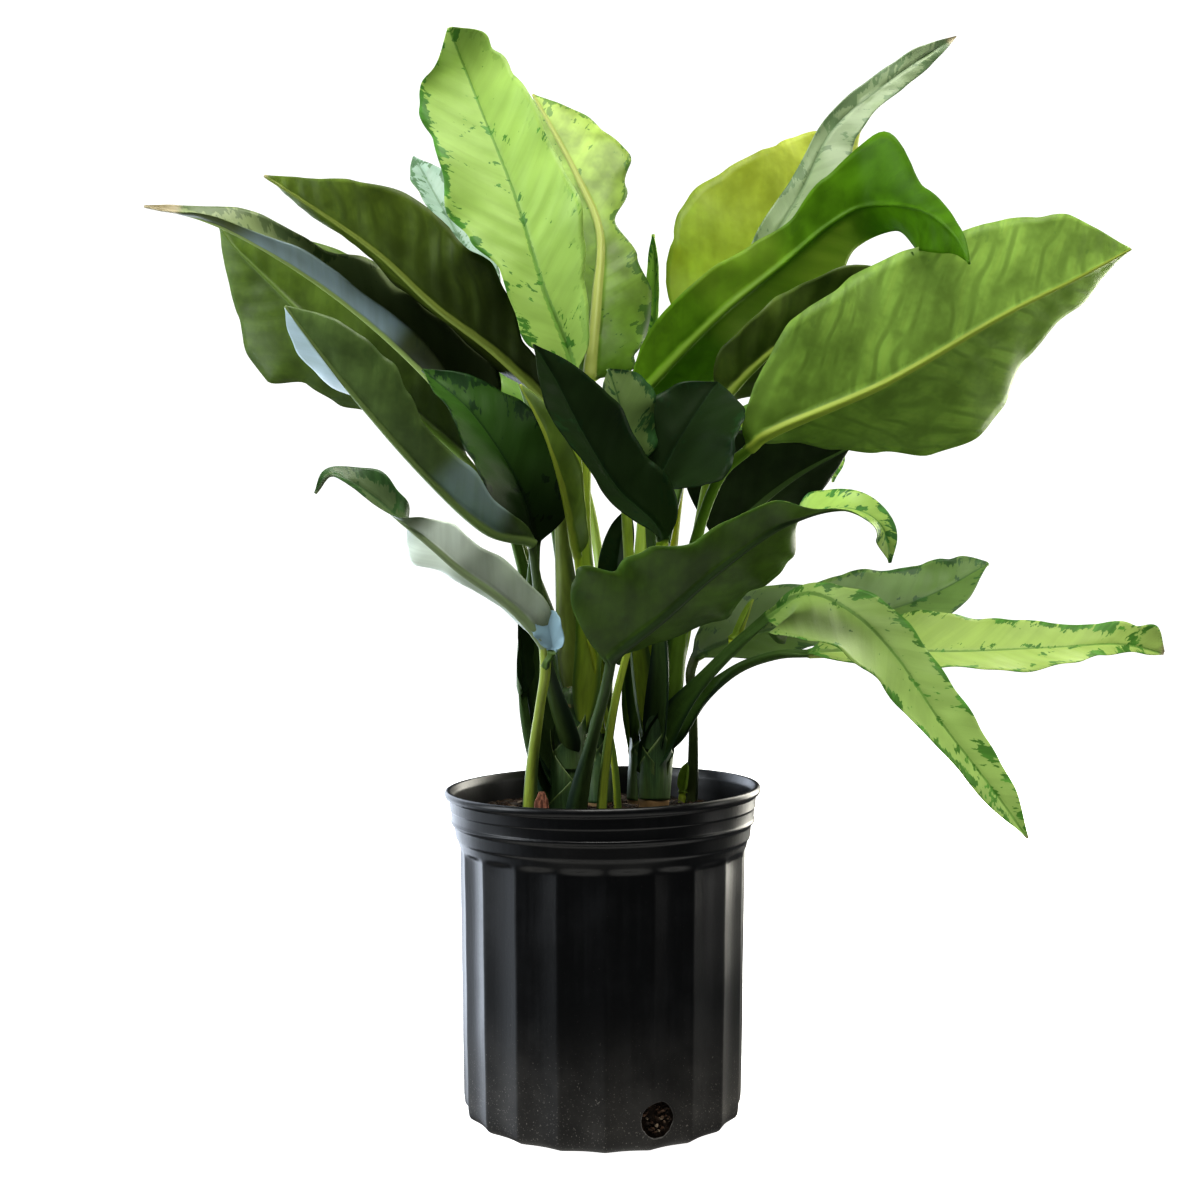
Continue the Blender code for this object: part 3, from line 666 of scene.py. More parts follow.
@dataclass
class Leaf:
    """A stalk and its blade.

    stalk and blade are points on the two lines, and face is where the upper side looks, from base
    to tip. fold, curl and sides come in pairs, one for each half of the blade: fold is the half's
    slope at the rib and curl the slope that it gains by the margin, in degrees, and sides its share
    of half the width. wave is the margin's height in millimetres, its waves and their start. sheath,
    ribs, rib_size and stalk_size are the strength of the stalk's wings, of the side veins, of the rib
    and of the stalk, and foot is how thick the stalk's lower end is beside the rest. stands_for tells
    whether the frame has a node of the leaf's name.
    """

    name: str
    slot: Slot
    finish: LeafFinish
    width: float
    stalk: list
    blade: list
    face: list
    fold: tuple = (10, 10)
    curl: tuple = (8, 8)
    wave: tuple = (3, 3, 0.0)
    sides: tuple = (1.0, 1.0)
    sheath: float = 1.0
    ribs: float = 0.3
    rib_size: float = 1.0
    stalk_size: float = 1.0
    foot: float = 0.5
    stands_for: bool = True

    OUTLINE = ((0.0, 0.07), (0.02, 0.2), (0.04, 0.36), (0.07, 0.55), (0.1, 0.7), (0.14, 0.83),
               (0.18, 0.91), (0.24, 0.975), (0.3, 1.0), (0.38, 1.01), (0.45, 1.0), (0.52, 0.985),
               (0.58, 0.96), (0.64, 0.92), (0.7, 0.86), (0.75, 0.785), (0.8, 0.69), (0.84, 0.585),
               (0.88, 0.46), (0.91, 0.345), (0.94, 0.225), (0.965, 0.125), (0.985, 0.055), (1.0, 0.012))
    STALK_RINGS = 30
    STALK_STOP = 0.985
    BLADE_RINGS = 112
    HALF = 15
    RIB_CROWD = 1.7
    STALK_BASE = 6.0
    STALK_END = 3.8
    STALK_TAPER = 1.4
    SUNK = 0.3
    SIZE_FADE = (0.7, 1.0)
    FOOT_REACH = (0.0, 0.16)
    WING_START = (-0.05, 0.1)
    WING_FADE = (0.22, 0.62)
    WING_WIDTH = 0.75
    WING_HEIGHT = 0.9
    STALK_GROOVE = 0.28
    FLAT_END = (0.8, 1.0)
    FLATNESS = 0.85
    OPENING = (0.0, 0.07)
    RING_CROWD = 0.035
    RIB_PROUD = 0.9
    RIB_GROOVE = 0.5
    GROOVE_WIDTH = 1.6
    TIP_RIB = 0.5
    THICKNESS = 0.9
    EDGE_THICKNESS = 0.35
    WAVE_OFFSET = 1.9
    SECOND_WAVE = (0.22, 2.6, 1.0)
    VEIN_HEIGHT = 0.6
    VEIN_DRIFT = 0.7
    VEIN_CHANGE = 1.2
    BUCKLE_HEIGHT = 1.5
    BUCKLE_CELL = 26.0
    DRIFT_CELL = 60.0
    STALK_REACH = 0.2
    SPAN_STEPS = 20

    def frame_at(self, ahead: np.ndarray, shares: np.ndarray) -> tuple[np.ndarray, np.ndarray]:
        """The sideways and upward directions of the leaf.

        Args:
            ahead: the directions of its line.
            shares: how far along the blade they are.

        Returns:
            The sideways and the upward directions.
        """
        facing = blend(self.face, shares)
        up = facing - ahead * np.sum(facing * ahead, axis=1)[:, None]
        up /= np.linalg.norm(up, axis=1)[:, None]
        return np.cross(ahead, up), up

    def columns(self) -> np.ndarray:
        """Where the points of a ring stand across the leaf, from -1 to 1."""
        return np.arange(-self.HALF, self.HALF + 1) / self.HALF

    def stalk_rings(self) -> tuple[np.ndarray, np.ndarray]:
        """The stalk, a winged sheath at its foot and a rod with a faint groove above.

        Returns:
            The upper and the lower points, by ring and column.
        """
        shares = np.linspace(0.0, self.STALK_STOP, self.STALK_RINGS)
        first, second = (np.array(place) for place in self.stalk[:2])
        foot = tuple(first + (first - second) * self.SUNK)
        line = smooth_line([foot, *self.stalk, self.blade[0]], self.SPAN_STEPS)
        centre, ahead, _ = along_line(line, shares)
        side, up = self.frame_at(ahead, np.zeros(len(shares)))
        taper = np.minimum(shares * self.STALK_TAPER, 1)
        radius = self.STALK_BASE + (self.STALK_END - self.STALK_BASE) * taper
        radius = radius * (1 + (self.stalk_size - 1) * (1 - step_up(shares, *self.SIZE_FADE)))
        radius = radius * (self.foot + (1 - self.foot) * step_up(shares, *self.FOOT_REACH))
        wing = self.sheath * (1 - step_up(shares, *self.WING_FADE)) * step_up(shares, *self.WING_START)
        turn = self.columns() * math.pi / 2
        out = (radius * (1 + self.WING_WIDTH * wing))[:, None] * np.sin(turn)
        dome = self.FLATNESS * radius[:, None] * np.cos(turn)
        rise = (self.WING_HEIGHT * wing * radius)[:, None] * np.abs(np.sin(turn)) ** 2.2
        groove = self.STALK_GROOVE * radius[:, None] * np.cos(turn) ** 4
        flat = (1 - step_up(shares, *self.FLAT_END))[:, None]
        top = dome * (1 - 1.35 * wing[:, None]) * flat - groove * (1 - wing[:, None]) + rise
        under = rise - dome - self.EDGE_THICKNESS
        return beside(centre, side, up, out, top), beside(centre, side, up, out, under)

    def blade_rings(self, seed: float) -> tuple[np.ndarray, np.ndarray, np.ndarray]:
        """The blade, waved, ribbed and thin at its margin.

        Args:
            seed: which of its small buckles this leaf has.

        Returns:
            The upper and the lower points, and what the finish reads, by ring and column.
        """
        shares = np.linspace(0.0, 1.0, self.BLADE_RINGS)
        shares = shares - self.RING_CROWD * np.sin(2 * math.pi * shares)
        line = smooth_line([self.stalk[-1], *self.blade], self.SPAN_STEPS)[self.SPAN_STEPS:]
        centre, ahead, length = along_line(line, shares)
        side, up = self.frame_at(ahead, shares)
        columns = self.columns()
        rod = (1 - step_up(shares, *self.OPENING))[:, None]
        crowded = np.abs(columns) ** self.RIB_CROWD
        apart = crowded * (1 - rod) + np.sin(np.abs(columns) * math.pi / 2) * rod
        which = (columns < 0).astype(int)
        outline = np.interp(shares, *zip(*self.OUTLINE))
        halves = np.stack([self.width / 2 * outline * blend(s, shares) for s in self.sides], axis=1)
        rib = self.TIP_RIB + (self.STALK_END * self.rib_size - self.TIP_RIB) * (1 - shares) ** 1.5
        halves = np.maximum(halves, (rib * (1 - shares) ** 3)[:, None])[:, which]
        fold = np.radians(np.stack([blend(f, shares) for f in self.fold], axis=1))[:, which]
        curl = np.radians(np.stack([blend(c, shares) for c in self.curl], axis=1))[:, which]
        mid = fold + curl * apart / 2
        reach = halves * apart * np.sinc(curl * apart / (2 * math.pi))
        out = reach * np.cos(mid) * np.sign(columns)
        rise = reach * np.sin(mid) + self.waves(shares, apart, which, halves) * (1 - rod)
        rise = rise + self.buckles(shares * length, halves * apart * np.sign(columns), apart, seed)
        slope = fold + curl * apart
        lean = np.sin(slope) * np.sign(columns)
        normal = up[:, None] * np.cos(slope)[..., None] - side[:, None] * lean[..., None]
        wide = halves * apart
        groove = self.RIB_GROOVE * rib[:, None] ** 0.5 * np.exp(-(wide / self.GROOVE_WIDTH) ** 2)
        groove = groove * (1 - rod)
        top = beside(centre, side, up, out, rise - groove)
        thick = self.THICKNESS * (1 - apart ** 2) + self.EDGE_THICKNESS
        bulge = rib[:, None] * np.sqrt(np.clip(1 - (wide / rib[:, None]) ** 2, 0.0, 1.0))
        under = top - normal * (thick + self.RIB_PROUD * bulge)[..., None]
        read = np.stack([np.broadcast_to(shares[:, None], wide.shape), apart * np.sign(columns),
                         np.broadcast_to((shares * length)[:, None], wide.shape) * MM,
                         wide * np.sign(columns) * MM, (halves - wide) * MM], axis=2)
        return top, under, read

    def waves(self, shares: np.ndarray, apart: np.ndarray, which: np.ndarray,
              halves: np.ndarray) -> np.ndarray:
        """The margin's slow wave, as high as the blade is wide there."""
        height, count, start = self.wave
        turn = 2 * math.pi * count * shares[:, None] + start + self.WAVE_OFFSET * which
        part, beat, shift = self.SECOND_WAVE
        swing = np.sin(turn) + part * np.sin(beat * turn + shift) * apart
        return height * swing * apart ** 2 * np.minimum(halves * 2 / self.width, 1.0)

    def buckles(self, along: np.ndarray, across: np.ndarray, apart: np.ndarray,
                seed: float) -> np.ndarray:
        """The side veins' ribbing and small uneven buckles, in millimetres."""
        wide = np.abs(across)
        spacing = LeafReading.VEIN_SPACING / MM
        bend = LeafReading.VEIN_BEND * MM
        phase = (along[:, None] - wide * LeafReading.VEIN_SLANT - wide ** 2 * bend) / spacing
        places = np.stack([np.broadcast_to(along[:, None], across.shape), across, 0 * across], axis=2)
        soft = grain(places.reshape(-1, 3), self.BUCKLE_CELL, seed).reshape(across.shape)
        drift = grain(places.reshape(-1, 3), self.DRIFT_CELL, seed + 4.0).reshape(across.shape)
        swing = np.sin(2 * math.pi * (phase + self.VEIN_DRIFT * drift))
        ribbing = -self.VEIN_HEIGHT * self.ribs * (1 + self.VEIN_CHANGE * drift) * swing
        rise = ribbing + self.BUCKLE_HEIGHT * soft
        return rise * np.minimum(apart * 4, 1.0) * (1 - 0.6 * apart ** 4)

    def build(self, seed: float) -> None:
        """Makes the leaf's mesh, dresses it and puts it in its node's place."""
        stalk_top, stalk_under = self.stalk_rings()
        blade_top, blade_under, read = self.blade_rings(seed)
        top = np.concatenate([stalk_top, blade_top])
        under = np.concatenate([stalk_under, blade_under])[:, ::-1]
        places = np.concatenate([top, under], axis=1)
        piece = Piece.lofted(self.name, places)
        blank = np.zeros((self.STALK_RINGS, read.shape[1], read.shape[2]))
        back = np.linspace(-1.0, -0.02, self.STALK_RINGS)
        blank[..., 0] = back[:, None]
        blank[..., 2] = back[:, None] * self.STALK_REACH
        blank[..., 3] = self.columns() * self.STALK_BASE * MM
        read = np.concatenate([blank, read])
        both = np.concatenate([read, read[:, ::-1]], axis=1)
        upper = np.repeat([1.0, 0.0], places.shape[1] // 2)
        share = np.stack([both[..., 0], both[..., 1], np.broadcast_to(upper, both.shape[:2])], axis=2)
        piece.attribute("leaf_share", share.reshape(-1, 3))
        piece.attribute("leaf_place", both[..., 2:5].reshape(-1, 3))
        piece.dress(self.finish.build(self.name + "_finish", seed, self.ribs, self.rib_size), self.slot)
        piece.settle(*([self.name] if self.stands_for else []))


FRESH = LeafFinish(upper=(0.35, 0.53, 0.12), margin=(0.055, 0.17, 0.02), under=(0.34, 0.5, 0.09),
    rib=(0.42, 0.5, 0.1), stalk=(0.32, 0.42, 0.05), glow=(0.42, 0.6, 0.06), glow_share=0.2, show=0.75)
TOP = replace(FRESH, margins=(0.25, 1.0))
BEHIND = replace(FRESH, tone_and_shade=((0.25, 0.33, 0.15), (0.98, 0.92, 1.1)), rib=(0.34, 0.38, 0.1),
    glow=(0.4, 0.55, 0.14), glow_share=0.14)
PALE = LeafFinish(upper=(0.3, 0.44, 0.12), margin=(0.06, 0.16, 0.025), under=(0.07, 0.13, 0.02),
    rib=(0.33, 0.42, 0.1), stalk=(0.05, 0.1, 0.02), glow=(0.28, 0.44, 0.05), glow_share=0.12,
    tone_and_shade=(0.8, 1.15), shine=0.14, dry=0.985)
LEVEL = replace(PALE, upper=(0.36, 0.5, 0.13), under=(0.26, 0.3, 0.06), dry=0.98, tone_and_shade=(0.85, 1.1))
SAGE = LeafFinish(upper=(0.15, 0.25, 0.065), margin=(0.035, 0.09, 0.02), under=(0.08, 0.15, 0.02),
    rib=(0.3, 0.4, 0.1), stalk=(0.055, 0.075, 0.02), glow=(0.25, 0.4, 0.03), glow_share=0.15,
    tone_and_shade=(0.55, 1.3))
SILVER = LeafFinish(upper=(0.27, 0.35, 0.19), margin=(0.03, 0.08, 0.025), under=(0.2, 0.3, 0.05),
    rib=(0.3, 0.4, 0.12), stalk=(0.09, 0.16, 0.03), glow=(0.24, 0.38, 0.05), glow_share=0.12,
    gloss=0.38, tone_and_shade=(0.95, 1.05), spots=0.55, dry=0.96)
# Painted sheen: the bluish cast of these two finishes is window light glancing off the blade, painted
# into the colour.
BLUISH_SHEEN = replace(SILVER, upper=(0.24, 0.34, 0.27), tone_and_shade=(1.0, 1.4), dry=1.2, spots=0.8)
FLAP_SHEEN = replace(BLUISH_SHEEN, upper=(0.28, 0.42, 0.48), under=(0.2, 0.3, 0.34), spots=0.0, tone_and_shade=(1.0, 1.0))
# Painted sheen: FAR's band paints a silvery sheen along one rolled half.
FAR = replace(SILVER, upper=(0.24, 0.3, 0.13), margin=(0.02, 0.05, 0.015), under=(0.06, 0.08, 0.02),
    tone_and_shade=(0.3, 1.25), dry=0.91, bands=((-1, 0.3, 0.8, 0.7),), painted_light_color=(0.3, 0.4, 0.43))
# Painted sheen: the silvery stretches of the twisted leaf stand for window light glancing off it.
PEWTER_SHEEN = LeafFinish(upper=(0.1, 0.15, 0.06), margin=(0.03, 0.07, 0.02), under=(0.13, 0.17, 0.09),
    rib=(0.2, 0.26, 0.13), stalk=(0.3, 0.38, 0.06), glow=(0.14, 0.22, 0.05), glow_share=0.08,
    gloss=0.36, bands=((0, 0.36, 0.62, 1.0), (0, 0.05, 0.44, 0.4)), painted_light_color=(0.78, 0.88, 0.74))
GARDEN = LeafFinish(upper=(0.18, 0.34, 0.05), margin=(0.03, 0.1, 0.015), under=(0.13, 0.25, 0.03),
    rib=(0.34, 0.46, 0.06), stalk=(0.28, 0.38, 0.05), glow=(0.24, 0.44, 0.03), glow_share=0.22)
SUNLIT = LeafFinish(upper=(0.3, 0.46, 0.06), margin=(0.07, 0.22, 0.02), under=(0.34, 0.41, 0.08),
    rib=(0.52, 0.6, 0.1), stalk=(0.4, 0.48, 0.04), glow=(0.58, 0.6, 0.07), glow_share=0.42, spots=0.2,
    tone_and_shade=((0.5, 0.72, 0.35), (1.4, 1.3, 1.3)))
# Painted light: VIVID's bands lighten stretches of the blade that lie in shade.
VIVID = LeafFinish(upper=(0.1, 0.2, 0.04), margin=(0.03, 0.09, 0.015), under=(0.11, 0.22, 0.012),
    rib=(0.17, 0.29, 0.03), stalk=(0.4, 0.46, 0.04), glow=(0.2, 0.4, 0.01), glow_share=0.32, spots=0.4,
    tone_and_shade=(1.35, (0.62, 0.76, 0.34)), shine=0.12, bands=((-1, 0.2, 0.66, 0.95), (1, 0.22, 0.5, 0.25)),
    painted_light_color=(0.46, 0.6, 0.08), rib_end=0.5)
MEADOW = LeafFinish(upper=(0.1, 0.2, 0.04), margin=(0.03, 0.09, 0.015), under=(0.165, 0.275, 0.045),
    rib=(0.31, 0.39, 0.06), stalk=(0.14, 0.24, 0.03), glow=(0.3, 0.46, 0.02), glow_share=0.2,
    spots=0.5, tone_and_shade=(0.9, (1.9, 1.8, 2.2)), shine=0.15)
OLIVE = LeafFinish(upper=(0.05, 0.09, 0.02), margin=(0.02, 0.05, 0.01), under=(0.075, 0.115, 0.012),
    rib=(0.2, 0.25, 0.045), stalk=(0.13, 0.17, 0.03), glow=(0.12, 0.17, 0.01), glow_share=0.12,
    spots=0.5, tone_and_shade=(0.2, 1.35), shine=0.2, dry=0.985)
OLIVE_LIGHT = LeafFinish(upper=(0.06, 0.11, 0.03), margin=(0.02, 0.06, 0.015),
    under=(0.09, 0.135, 0.02), rib=(0.26, 0.34, 0.05), stalk=(0.2, 0.3, 0.04), glow=(0.16, 0.22, 0.01),
    glow_share=0.12, spots=0.5)
MOSS = LeafFinish(upper=(0.12, 0.22, 0.04), margin=(0.03, 0.09, 0.015), under=(0.085, 0.14, 0.015),
    rib=(0.1, 0.165, 0.022), stalk=(0.1, 0.15, 0.02), glow=(0.12, 0.24, 0.01), glow_share=0.16,
    spots=0.5, tone_and_shade=(0.3, 1.15))
# Painted sheen: SHADED's bands paint a silvery sheen on the rolled margin and near the base.
SHADED = LeafFinish(upper=(0.05, 0.1, 0.02), margin=(0.015, 0.05, 0.01), under=(0.075, 0.12, 0.03),
    rib=(0.14, 0.2, 0.06), stalk=(0.05, 0.08, 0.02), glow=(0.07, 0.11, 0.015), glow_share=0.08,
    gloss=0.4, spots=0.4, tone_and_shade=(0.75, 1.15), bands=((1, 0.66, 1.2, 1.0), (-1, 0.08, 0.4, 0.4)),
    painted_light_color=(0.4, 0.52, 0.56))
# Painted shade: a near-black copy of the leaf colours for the leaves in the plant's shaded middle; STRAP
# and BLOTCHED are made from it.
DEEP_SHADE = LeafFinish(upper=(0.013, 0.028, 0.007), margin=(0.008, 0.022, 0.006),
    under=(0.014, 0.026, 0.007), rib=(0.06, 0.1, 0.03), stalk=(0.05, 0.09, 0.025),
    glow=(0.04, 0.07, 0.01), glow_share=0.05, gloss=0.42, shine=0.12)
STRAP = replace(DEEP_SHADE, stalk=(0.3, 0.38, 0.05))
BLOTCHED = replace(DEEP_SHADE, upper=(0.03, 0.075, 0.012), margin=(0.008, 0.025, 0.006), tone_and_shade=(0.2, 1.5))
SHADOW = LeafFinish(upper=(0.3, 0.46, 0.1), margin=(0.045, 0.14, 0.025), under=(0.05, 0.1, 0.008),
    rib=(0.025, 0.05, 0.01), stalk=(0.05, 0.09, 0.025), glow=(0.05, 0.09, 0.01), glow_share=0.07,
    gloss=0.45, show=0.1)
LIME = LeafFinish(upper=(0.28, 0.4, 0.05), margin=(0.1, 0.18, 0.03), under=(0.12, 0.18, 0.025),
    rib=(0.28, 0.34, 0.04), stalk=(0.4, 0.48, 0.04), glow=(0.34, 0.46, 0.03), glow_share=0.2,
    spots=0.3)
SPOTTED = LeafFinish(upper=(0.13, 0.2, 0.06), margin=(0.02, 0.06, 0.015), under=(0.05, 0.09, 0.02),
    rib=(0.18, 0.26, 0.06), stalk=(0.3, 0.4, 0.05), glow=(0.12, 0.18, 0.02), glow_share=0.08)


def top_leaves() -> list[Leaf]:
    """The leaves that reach the top, from left to right."""
    return [
        Leaf("leaf_blue_tip", Slot.MID, BLUISH_SHEEN, width=69,
             stalk=[(-7, 40, 268), (-20, 52, 330), (-34, 60, 410), (-48, 66, 480)],
             blade=[(-63, 86, 532), (-90, 112, 596), (-119, 138, 651), (-150, 164, 707)],
             face=[(0.2, -0.9, 0.4), (0.3, -0.9, 0.3)], fold=(12, 12), wave=(3, 2.5, 0.0),
             sides=([0.3, 0.3, 0.3, 0.3, 0.45, 0.7, 0.9, 1.0, 1.0, 1.0, 1.0],
                    [0.3, 0.3, 0.3, 0.3, 0.3, 0.35, 0.4, 0.45, 0.6, 1.0, 1.5])),
        Leaf("leaf_behind_top", Slot.MID, BEHIND, width=82,
             stalk=[(-1, 24, 276), (-6, 14, 320), (-12, 6, 380), (-12, 2, 450)],
             blade=[(-9, 12, 516), (-4, 30, 573), (-2, 50, 625), (-18, 68, 668), (-37, 84, 707),
                    (-52, 96, 736)],
             face=[(0.15, 1, 0.1), (0.15, 1, 0), (0, 1, 0.2)],
             fold=(25, 15), curl=(15, 20), wave=(4, 3, 2.0),
             sides=(1.0, [2.6, 1.15, 1.03, 1.0, 0.68, 0.32, 0.8, 1.3, 1.3, 1.65, 2.2]),
             rib_size=1.2),
        Leaf("leaf_top_center", Slot.LIGHT, TOP, width=118,
             stalk=[(-13, -21, 282), (-10, -32, 330), (-13, -36, 390), (-18, -38, 455)],
             blade=[(-20, -38, 515), (-40, -38, 570), (-60, -28, 635), (-82, -14, 692), (-96, -8, 728),
                    (-105, -20, 750)],
             face=[(0.05, -1, 0.2), (0.0, -1, 0.1), (0.1, -0.9, 0.4)],
             fold=(18, 8), curl=(10, 8), wave=(4, 3, 0.4),
             sides=([0.7, 0.5, 0.52, 0.64, 0.73, 0.67, 0.65, 0.72, 0.76, 1.08, 3.0],
                    [0.5, 0.6, 0.45, 0.43, 0.66, 0.84, 0.76, 0.8, 1.04, 1.28, 2.0])),
        Leaf("leaf_new_spike", Slot.MID, GARDEN, width=20,
             stalk=[(24, 48, 262), (26, 58, 340), (30, 66, 420), (34, 72, 490)],
             blade=[(37, 86, 541), (39, 92, 572), (40, 97, 603), (38, 100, 633)],
             face=[(-0.3, -0.9, 0.2)], fold=(40, 40), curl=(40, 40), wave=(1, 2, 0.0)),
        Leaf("leaf_yellow_right", Slot.YELLOW, SUNLIT, width=107,
             stalk=[(31, 45, 286), (39, 48, 340), (50, 54, 410), (60, 60, 480)],
             blade=[(69, 74, 552), (96, 94, 595), (132, 116, 639), (171, 138, 678), (203, 156, 725)],
             face=[(-0.2, 1, 0.2), (-0.2, 1, 0.3), (0, 0.8, 0.5)],
             fold=(8, 8), wave=(4, 3, 0.0),
             sides=([1.0, 1.0, 1.08, 1.2, 1.2, 1.12, 1.08, 1.04, 1.15, 1.3, 1.3], 0.9),
             stalk_size=1.3),
        Leaf("leaf_narrow_right", Slot.MID, SILVER, width=56,
             stalk=[(25, 36, 274), (30, 30, 330), (44, 32, 400), (66, 36, 480)],
             blade=[(92, 44, 563), (115, 48, 606), (144, 52, 654), (169, 58, 702), (213, 66, 740),
                    (262, 75, 774)],
             face=[(-0.35, -0.85, 0.4), (-0.3, -0.9, 0.3), (-0.1, -1, 0.1), (0.1, -1, 0)],
             fold=(5, 6), curl=(6, 6), wave=(4, 3, 1.0),
             sides=([0.5, 0.55, 0.6, 0.68, 0.78, 0.85, 0.66, 0.5, 0.55, 0.7, 1.0],
                    [0.3, 0.4, 0.45, 0.45, 0.4, 0.32, 0.34, 0.42, 0.5, 0.7, 1.0])),
        Leaf("leaf_arching", Slot.MID, VIVID, width=100,
             stalk=[(37, 2, 298), (36, -2, 345), (40, -5, 400), (34, -10, 450)],
             blade=[(22, -12, 490), (42, -16, 518), (82, -14, 558), (124, -8, 592), (158, -6, 620),
                    (184, -10, 632), (211, -50, 621), (229, -74, 600), (237, -90, 577)],
             face=[(-0.3, 0.8, 0.5), (-0.2, 0.8, 0.55), (0.1, 0.85, 0.45), (0.55, 0.8, 0.3)],
             fold=(14, 6), curl=(10, 6), wave=(4, 3, 0.0),
             sides=([0.6, 0.6, 0.62, 0.57, 0.45, 0.38, 0.62, 1.1, 0.4, 0.35, 0.5],
                    [0.9, 0.9, 0.9, 0.92, 0.95, 0.85, 0.58, 0.52, 0.85, 0.95, 0.75]),
             stalk_size=1.35, sheath=0.2),
    ]


def left_leaves() -> list[Leaf]:
    """The leaves that spread to the left, from top to bottom."""
    return [
        Leaf("leaf_olive_left", Slot.DARK, OLIVE, width=98,
             stalk=[(-21, -11, 298), (-25, -7, 350), (-28, -3, 400), (-29, -4, 450)],
             blade=[(-28, -6, 485), (-70, -8, 528), (-115, -14, 562), (-152, -18, 596),
                    (-191, -18, 624), (-232, -16, 651)],
             face=[(0.3, 0.75, 0.6), (0.3, 0.75, 0.6), (0.2, 0.8, 0.6)],
             fold=(36, 14), curl=(15, 8), wave=(4, 3, 0.0),
             sides=([1.0, 1.0, 1.0, 1.0, 0.9, 0.9, 0.9, 0.9, 0.9, 1.0, 1.0],
                    [0.8, 0.4, 0.4, 0.72, 1.0, 1.0, 1.0, 0.98, 0.92, 0.75, 0.8]),
             ribs=0.7, stalk_size=1.3),
        Leaf("leaf_far_left", Slot.MID, FAR, width=66,
             stalk=[(-31, -5, 274), (-42, 8, 325), (-56, 11, 380), (-70, 11, 430)],
             blade=[(-85, 24, 469), (-120, 22, 514), (-175, 10, 563), (-233, -6, 602),
                    (-275, -20, 621), (-312, -28, 628)],
             face=[(0.1, -0.75, 0.65), (0.1, -0.75, 0.65), (0.1, -0.8, 0.6)],
             fold=(12, [12, 70, 82, 82, 60, 12]), curl=(10, [10, 60, 62, 62, 40, 10]),
             wave=(3, 3, 0.5),
             sides=([1.6, 1.6, 1.7, 1.6, 1.4, 1.2, 0.8, 0.76, 0.8, 0.55, 0.8],
                    [0.8, 0.7, 0.6, 0.55, 0.5, 0.48, 0.48, 0.42, 0.4, 0.6, 0.8])),
        Leaf("leaf_far_left_olive", Slot.DARK, MOSS, width=129,
             stalk=[(-12, 32, 262), (-32, 36, 320), (-52, 38, 380), (-78, 38, 430)],
             blade=[(-104, 58, 463), (-152, 64, 505), (-203, 68, 550), (-251, 70, 597),
                    (-272, 70, 618), (-283, 70, 633)],
             face=[(0.1, 0.95, 0.2), (0.1, 0.95, 0.2), (0.1, 0.9, 0.3)],
             fold=(4, 14),
             sides=([0.3, 0.3, 0.32, 0.35, 0.53, 0.6, 0.95, 1.0, 0.85, 0.75, 0.7],
                    [1.0, 1.0, 1.0, 1.0, 1.0, 1.0, 1.0, 0.95, 0.9, 0.8, 0.6]),
             ribs=0.4),
        Leaf("leaf_rolled", Slot.DARK, SHADED, width=92,
             stalk=[(-22, -20, 254), (-34, -38, 298), (-41, -54, 340), (-43, -62, 370)],
             blade=[(-46, -68, 397), (-77, -82, 408), (-117, -96, 445), (-161, -106, 496),
                    (-200, -114, 547)],
             face=[(0.5, 0.2, 0.85), (0.55, 0.2, 0.8), (0.6, 0.3, 0.7)],
             fold=([38, 38, 38, 30, -30, -50], 45), curl=(20, 25),
             sides=([0.68, 0.68, 0.68, 0.68, 0.68, 0.68, 0.68, 0.68, 0.62, 0.85, 1.4],
                    [0.6, 0.55, 0.48, 0.52, 0.5, 0.55, 0.64, 0.8, 0.95, 1.1, 1.2]),
             foot=0.12),
        Leaf("leaf_dark_left", Slot.DARK, BLOTCHED, width=74,
             stalk=[(-34, -15, 242), (-47, -18, 300), (-51, -18, 340), (-48, -22, 370)],
             blade=[(-46, -26, 398), (-58, -31, 440), (-88, -34, 486), (-122, -36, 516)],
             face=[(0.4, -0.7, 0.6), (0.4, -0.7, 0.6)], fold=(15, 15), curl=(10, 10),
             wave=(3, 2.5, 0.0),
             sides=([1.0, 1.0, 1.05, 1.1, 1.1, 1.0, 1.0, 0.9, 0.8, 0.8, 1.0],
                    [1.5, 1.5, 1.5, 1.4, 1.25, 1.1, 1.0, 1.0, 1.0, 1.0, 1.0]),
             stalk_size=1.5),
        Leaf("leaf_narrow_olive", Slot.YELLOW, LIME, width=40,
             stalk=[(12, -18, 196), (8, -20, 250), (-4, -26, 310), (-12, -42, 352)],
             blade=[(-16, -56, 390), (-24, -60, 430), (-36, -60, 468), (-54, -56, 504)],
             face=[(0.9, 0.2, 0.3)], fold=(20, 20), curl=(10, 10), wave=(2, 2, 0.0), sheath=0.15,
             stalk_size=0.6),
        Leaf("leaf_twisted_left", Slot.MID, PEWTER_SHEEN, width=72,
             stalk=[(-51, -36, 196), (-48, -44, 245), (-42, -60, 288), (-38, -72, 312)],
             blade=[(-38, -78, 331), (-60, -90, 358), (-90, -104, 380), (-108, -112, 396),
                    (-132, -118, 417), (-154, -122, 434), (-171, -124, 441), (-181, -124, 429)],
             face=[(0.3, 0.75, 0.5), (0.3, 0.75, 0.5), (0.4, 0.8, 0.2), (-0.1, -0.7, 0.7),
                   (0.0, -0.5, 0.85)], fold=(15, 15), curl=(12, 12), wave=(4, 3, 0.0),
             sides=([0.6, 0.5, 0.3, 0.35, 0.5, 0.85, 0.5, 0.4, 0.6, 0.5, 0.6],
                    [0.9, 0.75, 0.6, 0.58, 0.55, 0.6, 0.35, 0.2, 0.25, 0.3, 0.5]),
             sheath=0.15, stalk_size=0.85),
        Leaf("leaf_beside_cane", Slot.DARK, DEEP_SHADE, width=20,
             stalk=[(-36, -19, 218), (-44, -25, 240), (-50, -28, 262), (-53, -30, 280)],
             blade=[(-54, -31, 296), (-55, -32, 320), (-54, -32, 345), (-51, -32, 366)],
             face=[(0.7, -0.5, 0.3)], fold=(15, 15), wave=(1, 2, 0.0)),
    ]


